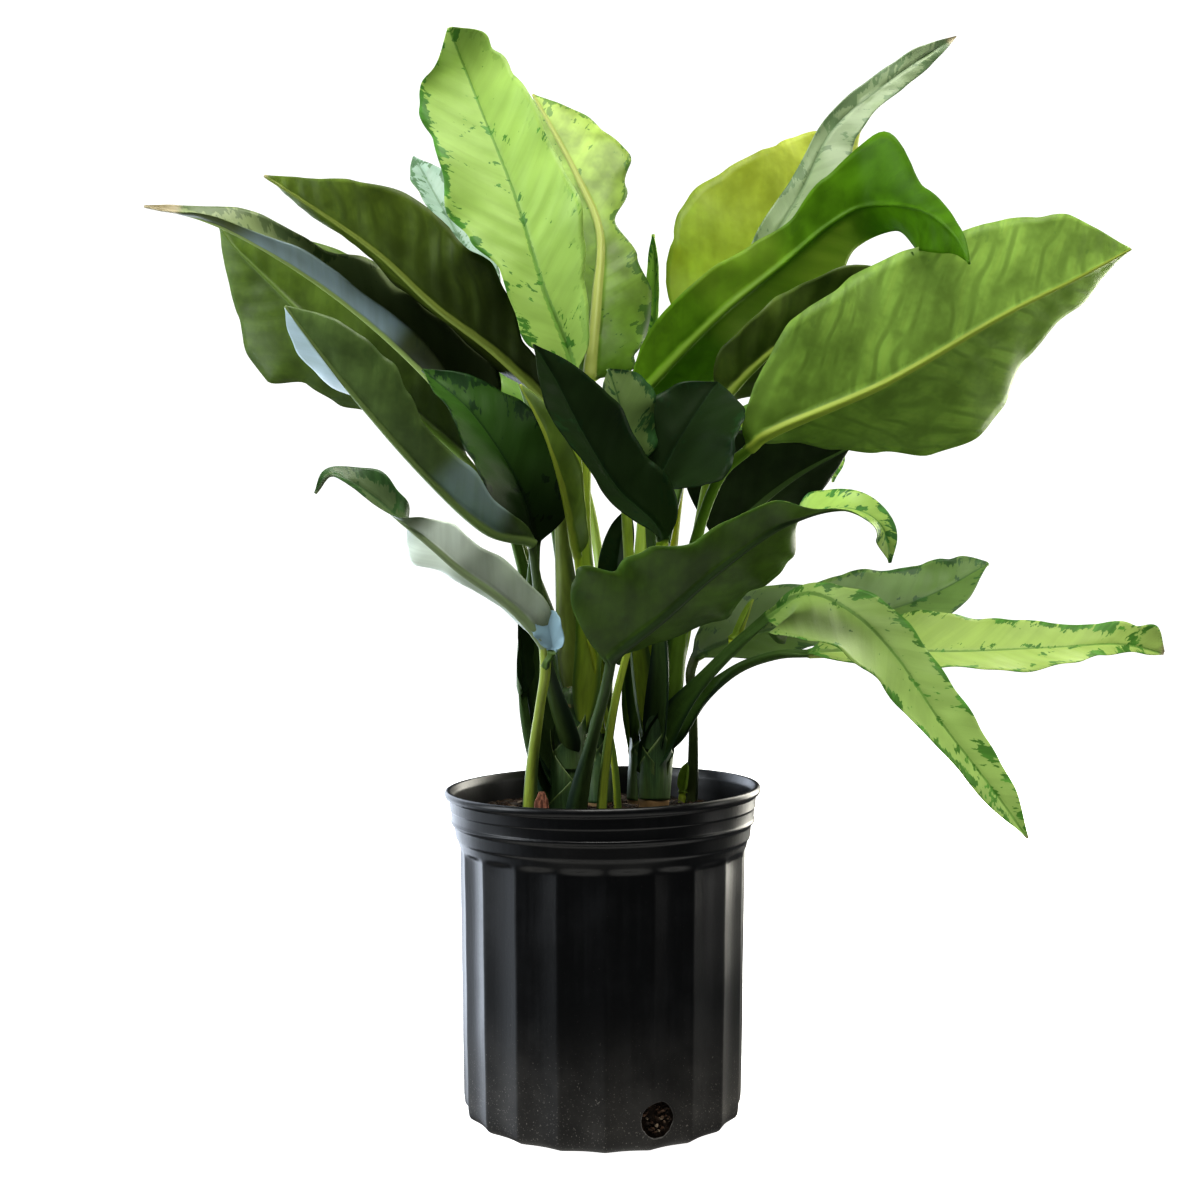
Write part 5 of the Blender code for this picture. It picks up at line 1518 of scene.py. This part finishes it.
@dataclass
class PottingMix:
    """The soil's body, and the crumbs, fibres and grit that lie on it and in the drainage holes."""

    pot: NurseryPot
    top: float = 210.0
    gap: float = 0.35
    slack: float = 0.7
    crumbs: Loose = Loose(1500, (0.5, 2.3), (1.0, 0.85, 0.7), 0.0, (0.0, 0.62))
    chips: Loose = Loose(170, (1.8, 5.2), (1.0, 0.45, 0.28), 0.6, (0.35, 0.85))
    grit: Loose = Loose(14, (1.0, 2.0), (1.0, 1.0, 1.0), 0.7, (1.0, 1.0))
    in_hole: Loose = Loose(60, (0.8, 2.4), (1.0, 0.8, 0.6), 0.0, (0.1, 0.9))
    fibres: Fibres = Fibres()

    COLUMNS = 200
    FOOT_CORNER = (5.2, 4.2)
    LOW_RINGS = (10.0, 34.0, 13)
    HIGH_RINGS = (40.0, 189.8, 14)
    LINER_TOP = 190.0
    IN_COLLAR = ((194.0, 99.4), (203.0, 100.5))
    TOP_RINGS = 60
    SPREAD = 97.0
    LUMPS = ((1.6, 21.0, 2.0), (1.0, 7.0, 5.0), (0.6, 2.6, 8.0))
    SINK = 2.4
    SINK_START = 70.0
    PITS = 1.2
    PIT_CELL = 3.2
    HOLE_REACH = 11.0
    HOLE_FACE = 93.4
    HOLE_DEPTHS = (-0.5, 1.8)
    SEED = 11

    def surface(self, x: np.ndarray, y: np.ndarray) -> np.ndarray:
        """The height of the soil's top at places across the pot."""
        places = np.stack([x, y, 0 * x], axis=-1).reshape(-1, 3)
        lumps = sum(rise * grain(places, cell, seed) for rise, cell, seed in self.LUMPS)
        sunk = self.SINK * step_up(np.hypot(x, y), self.SINK_START, self.SPREAD)
        return self.top + lumps.reshape(x.shape) - sunk

    def body(self) -> None:
        """The soil itself, a loose fit in the pot."""
        pot = self.pot
        foot = pot.body_foot_radius - pot.wall - pot.flute_depth - self.slack
        top = pot.body_top_radius - pot.wall - pot.flute_depth - self.slack
        turn = around(self.COLUMNS)
        inward, upward = self.FOOT_CORNER
        sides = [(pot.floor + self.gap, foot - inward), (pot.floor + upward, foot)]
        sides += [(height, foot) for height in np.linspace(*self.LOW_RINGS)]
        sides += [(height, foot + (top - foot) * height / self.LINER_TOP)
                  for height in np.linspace(*self.HIGH_RINGS)]
        rings = []
        for height, radius in (*sides, *self.IN_COLLAR):
            ring = polar(radius, turn, height)
            pits = np.minimum(grain(ring, self.PIT_CELL, 6.0), 0.0) * self.PITS
            rings.append(polar(radius + pits, turn, height))
        for radius in np.linspace(self.SPREAD + 1.0, 1.5, self.TOP_RINGS):
            flat = polar(radius, turn, 0.0)
            flat[:, 2] = self.surface(flat[:, 0], flat[:, 1])
            rings.append(flat)
        finish = GrainFinish((0.012, 0.008, 0.0055), (0.042, 0.026, 0.016), (0.13, 0.085, 0.05), 420.0)
        piece = Piece.lofted("soil_bed", np.array(rings))
        piece.dress(finish.build("soil_mix"), Slot.SOIL).settle("soil")

    def spot_on_top(self, rng: np.random.Generator, lift: float) -> np.ndarray:
        """A random place on the soil, or a little over it."""
        far = self.SPREAD * math.sqrt(rng.uniform(0.0, 0.98))
        turn = rng.uniform(0, 2 * math.pi)
        x, y = np.array([far * math.cos(turn)]), np.array([far * math.sin(turn)])
        return np.array([x[0], y[0], self.surface(x, y)[0] + lift])

    def spot_in_hole(self, rng: np.random.Generator, angle: float) -> np.ndarray:
        """A random place on the soil that shows in one drainage hole."""
        far = self.HOLE_REACH * math.sqrt(rng.uniform(0, 1))
        turn = rng.uniform(0, 2 * math.pi)
        spin = math.radians(angle) + far * math.cos(turn) / self.pot.body_foot_radius
        height = self.pot.hole_height + far * math.sin(turn)
        return polar(self.HOLE_FACE + rng.uniform(*self.HOLE_DEPTHS), spin, height)

    def strew(self, heap: Heap, rng: np.random.Generator, kind: Loose) -> None:
        """Lays one kind of lump on the soil."""
        for _ in range(kind.count):
            places = kind.lump(rng) + self.spot_on_top(rng, kind.lift)
            heap.add(places, LUMP_FACES, shade=kind.shade(rng))

    def scatter(self) -> None:
        """The loose bits, in one mesh with a shade for each."""
        heap, rng = Heap("shade"), np.random.default_rng(self.SEED)
        self.strew(heap, rng, self.crumbs)
        self.strew(heap, rng, self.chips)
        fibre_faces = loft_faces(Fibres.STEPS, len(Fibres.SECTION))
        for _ in range(self.fibres.count):
            places = self.fibres.fibre(rng) + self.spot_on_top(rng, self.fibres.lift)
            heap.add(places, fibre_faces, shade=rng.uniform(*self.fibres.shades))
        self.strew(heap, rng, self.grit)
        for angle in self.pot.hole_angles:
            for _ in range(self.in_hole.count):
                spot = self.spot_in_hole(rng, angle)
                heap.add(self.in_hole.lump(rng) + spot, LUMP_FACES, shade=self.in_hole.shade(rng))
        finish = GrainFinish((0.014, 0.009, 0.006), (0.07, 0.038, 0.022), (0.36, 0.29, 0.21), 700.0,
                             shade_from_mesh=True)
        piece = heap.piece("soil_crumbs", smooth=False)
        piece.dress(finish.build("soil_bits"), Slot.SOIL).settle()

    def build(self) -> None:
        """Makes the soil and what lies on it."""
        self.body()
        self.scatter()


@dataclass(frozen=True)
class BarkFinish:
    """Reddish bark with dark grooves."""

    light: Color = (0.3, 0.125, 0.075)
    dark: Color = (0.085, 0.035, 0.022)
    least_rough: float = 0.82
    shine: float = 0.25

    def build(self, name: str) -> bpy.types.Material:
        """Makes the material."""
        graph = Graph(name)
        x, y, height = graph.object_place().parts()
        groove = graph.noise(graph.vector(x, y, height * 0.25), 520.0, 4.0, 0.65)
        color = graph.mix(groove.smooth(0.4, 0.62), self.dark, self.light)
        rough = groove * 0.1 + self.least_rough
        return graph.finish(graph.shader(color, rough, self.shine, Normal=graph.bump(groove, 0.9, 1.0)))


@dataclass
class BarkChip:
    """The chip of bark that stands in the soil."""

    place: tuple = (-41.0, -58.0)
    turn: float = 25.0
    skew: float = 0.6
    sections: tuple = ((203.0, 5.5, 2.6), (216.0, 6.0, 2.8), (226.0, 5.0, 2.2), (231.0, 2.2, 1.0))

    SIDES = 28
    RINGS = 26
    SQUARENESS = 0.45
    GROOVE_DEPTH = 0.5
    TEAR_HEIGHT = 1.6
    TEAR_START = (222.0, 231.0)

    def build(self) -> None:
        """Makes the chip, with a torn top and grooved sides."""
        turn = math.radians(self.turn)
        reach = np.array([math.cos(turn), math.sin(turn) + self.skew])
        table = np.array(self.sections)
        out = polar(1.0, around(self.SIDES), 0.0)[:, :2]
        square = np.sign(out) * np.abs(out) ** self.SQUARENESS
        rings = []
        for height in np.linspace(table[0, 0], table[-1, 0], self.RINGS):
            half = np.array([np.interp(height, table[:, 0], table[:, k]) for k in (1, 2)])
            ring = np.full((self.SIDES, 3), height)
            ring[:, :2] = self.place + half * square * reach
            rough = self.GROOVE_DEPTH * grain(ring * (1, 1, 0.3), 1.4, 3.0)
            ring[:, :2] += rough[:, None] * out
            torn = self.TEAR_HEIGHT * grain(ring * (1, 1, 0), 2.2, 7.0)
            ring[:, 2] += torn * step_up(np.array(height), *self.TEAR_START)
            rings.append(ring)
        piece = Piece.lofted("bark_chip_torn", np.array(rings))
        piece.dress(BarkFinish().build("bark"), Slot.BARK).settle("bark_chip")


@dataclass(frozen=True)
class CaneFinish:
    """Green cane skin with fine lengthwise streaks, pale sheath edges and corky rings at the foot."""

    green: Color = (0.032, 0.066, 0.022)
    pale: Color = (0.13, 0.18, 0.05)
    cork: Color = (0.3, 0.19, 0.09)
    least_rough: float = 0.36
    shine: float = 0.5

    def build(self, name: str) -> bpy.types.Material:
        """Makes the material."""
        graph = Graph(name)
        x, y, height = graph.object_place().parts()
        edge = graph.attribute("edge", "Fac")
        cork = graph.attribute("cork", "Fac")
        streak = graph.noise(graph.vector(x, y, height * 0.06), 620.0, 3.0, 0.6)
        cloud = graph.noise(graph.vector(x, y, height * 0.5), 60.0, 2.0)
        color = graph.mix(streak.smooth(0.35, 0.68), self.green, scaled(self.green, 1.7))
        color = graph.mix(cloud.smooth(0.42, 0.75) * 0.45, color, self.pale)
        color = graph.mix(edge * 0.75, color, self.pale)
        color = graph.mix((cork + (streak - 0.5) * 0.9).smooth(0.35, 0.75), color, self.cork)
        rough = streak * 0.14 + self.least_rough
        rise = graph.bump(streak + cloud, 0.35, 0.7)
        return graph.finish(graph.shader(color, rough, self.shine, Normal=rise))


@dataclass
class Cane:
    """A short cane with rings where old leaves sat, wrapped in open leaf sheaths.

    line is its points from under the soil to its top, and radii its thickness along it. Each sheath
    is its start and end as shares of the line, the turn that its opening faces in degrees, and how
    far it stands off the cane.
    """

    name: str
    line: list
    radii: list
    sheaths: list
    cork: float = 0.0

    SIDES = 44
    RINGS = 64
    RING_STEP = 0.115
    RING_SWELL = 0.55
    RING_WIDTH = 0.16
    CROWN = 0.75
    CROWN_START = 0.93
    CORK_FADE = (0.3, 0.4)
    RIPPLE = 0.35
    SHEATH_SIDES = 36
    SHEATH_RINGS = 26
    SHEATH_OPENING = 50.0
    SHEATH_DROP = 0.8
    SHEATH_THICKNESS = 0.7
    SHEATH_GAP = 0.4

    def frame_at(self, shares: np.ndarray) -> tuple[np.ndarray, np.ndarray, np.ndarray, np.ndarray]:
        """The cane's middle, its two crosswise directions and its radius at shares of its line."""
        middle, ahead, _ = along_line(smooth_line(self.line, 20), shares)
        side = np.cross([1.0, 0.0, 0.0], ahead)
        side /= np.linalg.norm(side, axis=1)[:, None]
        return middle, side, np.cross(ahead, side), blend(self.radii, shares)

    def add_core(self, heap: Heap) -> None:
        """Adds the cane itself, with the mark of its cork."""
        shares = np.linspace(0.0, 1.0, self.RINGS)
        middle, side, up, radius = self.frame_at(shares)
        turn = around(self.SIDES)
        beat = (shares / self.RING_STEP) % 1.0
        swell = self.RING_SWELL * np.exp(-((beat - 0.5) / self.RING_WIDTH) ** 2)
        crown = 1 - self.CROWN * step_up(shares, self.CROWN_START, 1.0)
        ripple = self.RIPPLE * np.sin(5 * turn + 9 * shares[:, None])
        wide = ((radius + swell) * crown)[:, None] + ripple
        places = beside(middle, side, up, wide * np.cos(turn), wide * np.sin(turn))
        cork = self.cork * (1 - step_up(shares, *self.CORK_FADE)) + 0.5 * (swell > 0.35)
        faces = loft_faces(self.RINGS, self.SIDES)
        heap.add(places.reshape(-1, 3), faces, edge=0.0, cork=np.repeat(cork, self.SIDES))

    def add_sheath(self, heap: Heap, start: float, end: float, opening: float, off: float) -> None:
        """Adds a thin sheath round the cane, open on one side, whose rim slants down to the opening.

        Args:
            heap: the mesh that it goes into.
            start: where it grows from, as a share of the line.
            end: where its rim is highest.
            opening: the turn that its opening faces, in degrees.
            off: how far it stands off the cane at its rim.
        """
        gap = math.radians(self.SHEATH_OPENING)
        share = np.linspace(0.0, 1.0, self.SHEATH_SIDES)
        turn = math.radians(opening) + gap / 2 + (2 * math.pi - gap) * share
        drop = (np.abs(share - 0.5) * 2) ** 0.8 * self.SHEATH_DROP
        grids = []
        for inward in (0.0, self.SHEATH_THICKNESS):
            rows = []
            for level in np.linspace(0.0, 1.0, self.SHEATH_RINGS):
                at = np.clip(start + (end - start) * level * (1 - drop), 0.0, 1.0)
                middle, side, up, radius = self.frame_at(at)
                flare = off * (0.25 + 0.75 * level ** 1.5) + self.RIPPLE * np.sin(6 * turn) * level
                wide = radius + self.SHEATH_GAP + flare - inward * (1 - 0.4 * level)
                row = middle + side * (wide * np.cos(turn))[:, None]
                rows.append(row + up * (wide * np.sin(turn))[:, None])
            grids.append(np.array(rows))
        loop = np.concatenate([grids[0], grids[1][:, ::-1]], axis=1)
        level = np.linspace(0.0, 1.0, self.SHEATH_RINGS)[:, None]
        edge = np.maximum(step_up(level, 0.9, 1.0), step_up(np.abs(share - 0.5) * 2, 0.9, 1.0)[None, :])
        marks = np.concatenate([edge, edge[:, ::-1]], axis=1)
        heap.add(loop.reshape(-1, 3), loft_faces(*loop.shape[:2]), edge=marks.ravel(), cork=0.0)

    def build(self) -> None:
        """Makes the cane and its sheaths as one piece in the cane's place."""
        heap = Heap("edge", "cork")
        self.add_core(heap)
        for sheath in self.sheaths:
            self.add_sheath(heap, *sheath)
        piece = heap.piece(self.name + "_sheathed")
        piece.dress(CaneFinish().build(self.name + "_skin"), Slot.CANE).settle(self.name)


def canes() -> list[Cane]:
    """The four canes."""
    return [
        Cane("cane_left", [(-25, -14, 182), (-25, -14, 215), (-23, -13, 262), (-21, -12, 302)],
             [12, 12, 11, 7.5], [(0.14, 0.62, 250, 2.2), (0.3, 0.82, 60, 2.6), (0.5, 1.0, 290, 3.2)]),
        Cane("cane_right", [(36, 0, 182), (36, 0, 215), (38, 1, 262), (40, 2, 305)],
             [10.5, 10.5, 9.5, 7.5],
             [(0.3, 0.7, 200, 2.0), (0.42, 0.88, 20, 2.6), (0.58, 1.0, 230, 3.0)], cork=1.0),
        Cane("cane_back_left", [(-2, 30, 182), (-2, 30, 215), (-4, 32, 255), (-6, 34, 290)],
             [8.5, 8.5, 8, 6.5], [(0.28, 0.76, 140, 2.0), (0.5, 1.0, 320, 2.6)], cork=0.7),
        Cane("cane_back_right", [(27, 40, 182), (27, 40, 215), (30, 43, 255), (33, 45, 290)],
             [8.5, 8.5, 8, 6.5], [(0.28, 0.76, 100, 2.0), (0.5, 1.0, 280, 2.6)], cork=0.7),
    ]


@dataclass
class Studio:
    """The floor, lights and camera."""

    camera_place: Point = (-0.0019, -1.1685, 0.3891)
    camera_dip: float = 1.5
    lens: float = 50.0
    sensor: float = 36.0
    aim: Point = (0.0, 0.0, 0.4)
    floor_radius: float = 6.0

    FLOOR_SIDES = 96
    FLOOR_DROP = 0.2
    LAMPS = (
        ("window_left", (-1.7, -0.45, 0.85), (0.8, 1.6), 34.0, (0.90, 0.95, 1.0)),
        ("window_back_left", (-1.2, 1.65, 0.5), (1.5, 2.6), 42.0, (0.80, 0.88, 1.0)),
        ("window_back_right", (1.35, 1.35, 0.9), (1.0, 2.3), 70.0, (1.0, 0.97, 0.86)),
        ("card_left", (-1.9, 0.35, -0.1), (1.6, 1.6), 9.0, (0.84, 0.91, 1.0)),
        ("bounce", (0.0, -0.4, -1.3), (2.6, 2.6), 22.0, (1.0, 0.99, 0.93)),
        ("ceiling", (0.1, -0.75, 2.1), (1.4, 1.0), 48.0, (1.0, 0.99, 0.95)),
        ("window_right", (1.8, -0.1, 0.45), (0.4, 1.2), 8.0, (1.0, 0.98, 0.94)),
    )

    def floor(self) -> None:
        """A plain pale round floor under the pot."""
        ring = polar(self.floor_radius / MM, around(self.FLOOR_SIDES), -self.FLOOR_DROP)
        thing = Piece("studio_floor", ring, [tuple(range(self.FLOOR_SIDES))], smooth=False).thing
        graph = Graph("studio_floor")
        seen = graph.shader((0.9, 0.9, 0.9), 0.8, 0.1, Emission_Color=(1.0, 0.995, 0.98),
                            Emission_Strength=0.9)
        felt = graph.node("ShaderNodeBsdfTransparent")
        thing.data.materials.append(graph.finish(graph.for_camera(felt, seen)))

    def lamp(self, name: str, place: Point, size: Pair, power: float, color: Color) -> None:
        """A soft light that faces the plant.

        Args:
            name: the light's name.
            place: where it stands, in metres.
            size: its width and height, in metres.
            power: its power in watts.
            color: its colour.
        """
        data = bpy.data.lights.new(name, "AREA")
        data.shape = "RECTANGLE"
        data.size, data.size_y = size
        data.energy = power
        data.color = color
        thing = bpy.data.objects.new(name, data)
        thing.location = place
        thing.rotation_euler = (Vector(self.aim) - Vector(place)).to_track_quat("-Z", "Y").to_euler()
        thing.visible_camera = False
        bpy.context.scene.collection.objects.link(thing)

    def sky(self) -> None:
        """A pale surround that looks white and fills the shadows a little."""
        graph = Graph("studio", world=True)
        seen = graph.node("ShaderNodeBackground", inputs={"Color": WHITE, "Strength": 1.0})
        fill = graph.node("ShaderNodeBackground", inputs={"Color": (0.86, 0.93, 1.0), "Strength": 0.1})
        bpy.context.scene.world = graph.finish(graph.for_camera(fill, seen))

    def camera(self) -> None:
        """The camera at the photograph's place."""
        data = bpy.data.cameras.new("camera")
        data.lens = self.lens
        data.sensor_width = self.sensor
        thing = bpy.data.objects.new("camera", data)
        thing.location = self.camera_place
        thing.rotation_euler = (math.radians(90 - self.camera_dip), 0.0, 0.0)
        bpy.context.scene.collection.objects.link(thing)
        bpy.context.scene.camera = thing

    def build(self) -> None:
        """Sets up the whole studio."""
        self.camera()
        self.floor()
        self.sky()
        for row in self.LAMPS:
            self.lamp(*row)
        bpy.context.scene.view_settings.view_transform = "Standard"
        bpy.context.scene.view_settings.look = "Medium High Contrast"


def main() -> None:
    """Builds the studio, then the pot, soil, canes and leaves."""
    Studio().build()
    pot = NurseryPot()
    pot.build()
    PottingMix(pot).build()
    BarkChip().build()
    for cane in canes():
        cane.build()
    for number, leaf in enumerate(leaves()):
        leaf.build(seed=1.0 + 1.7 * number)


if __name__ == "__main__":
    main()
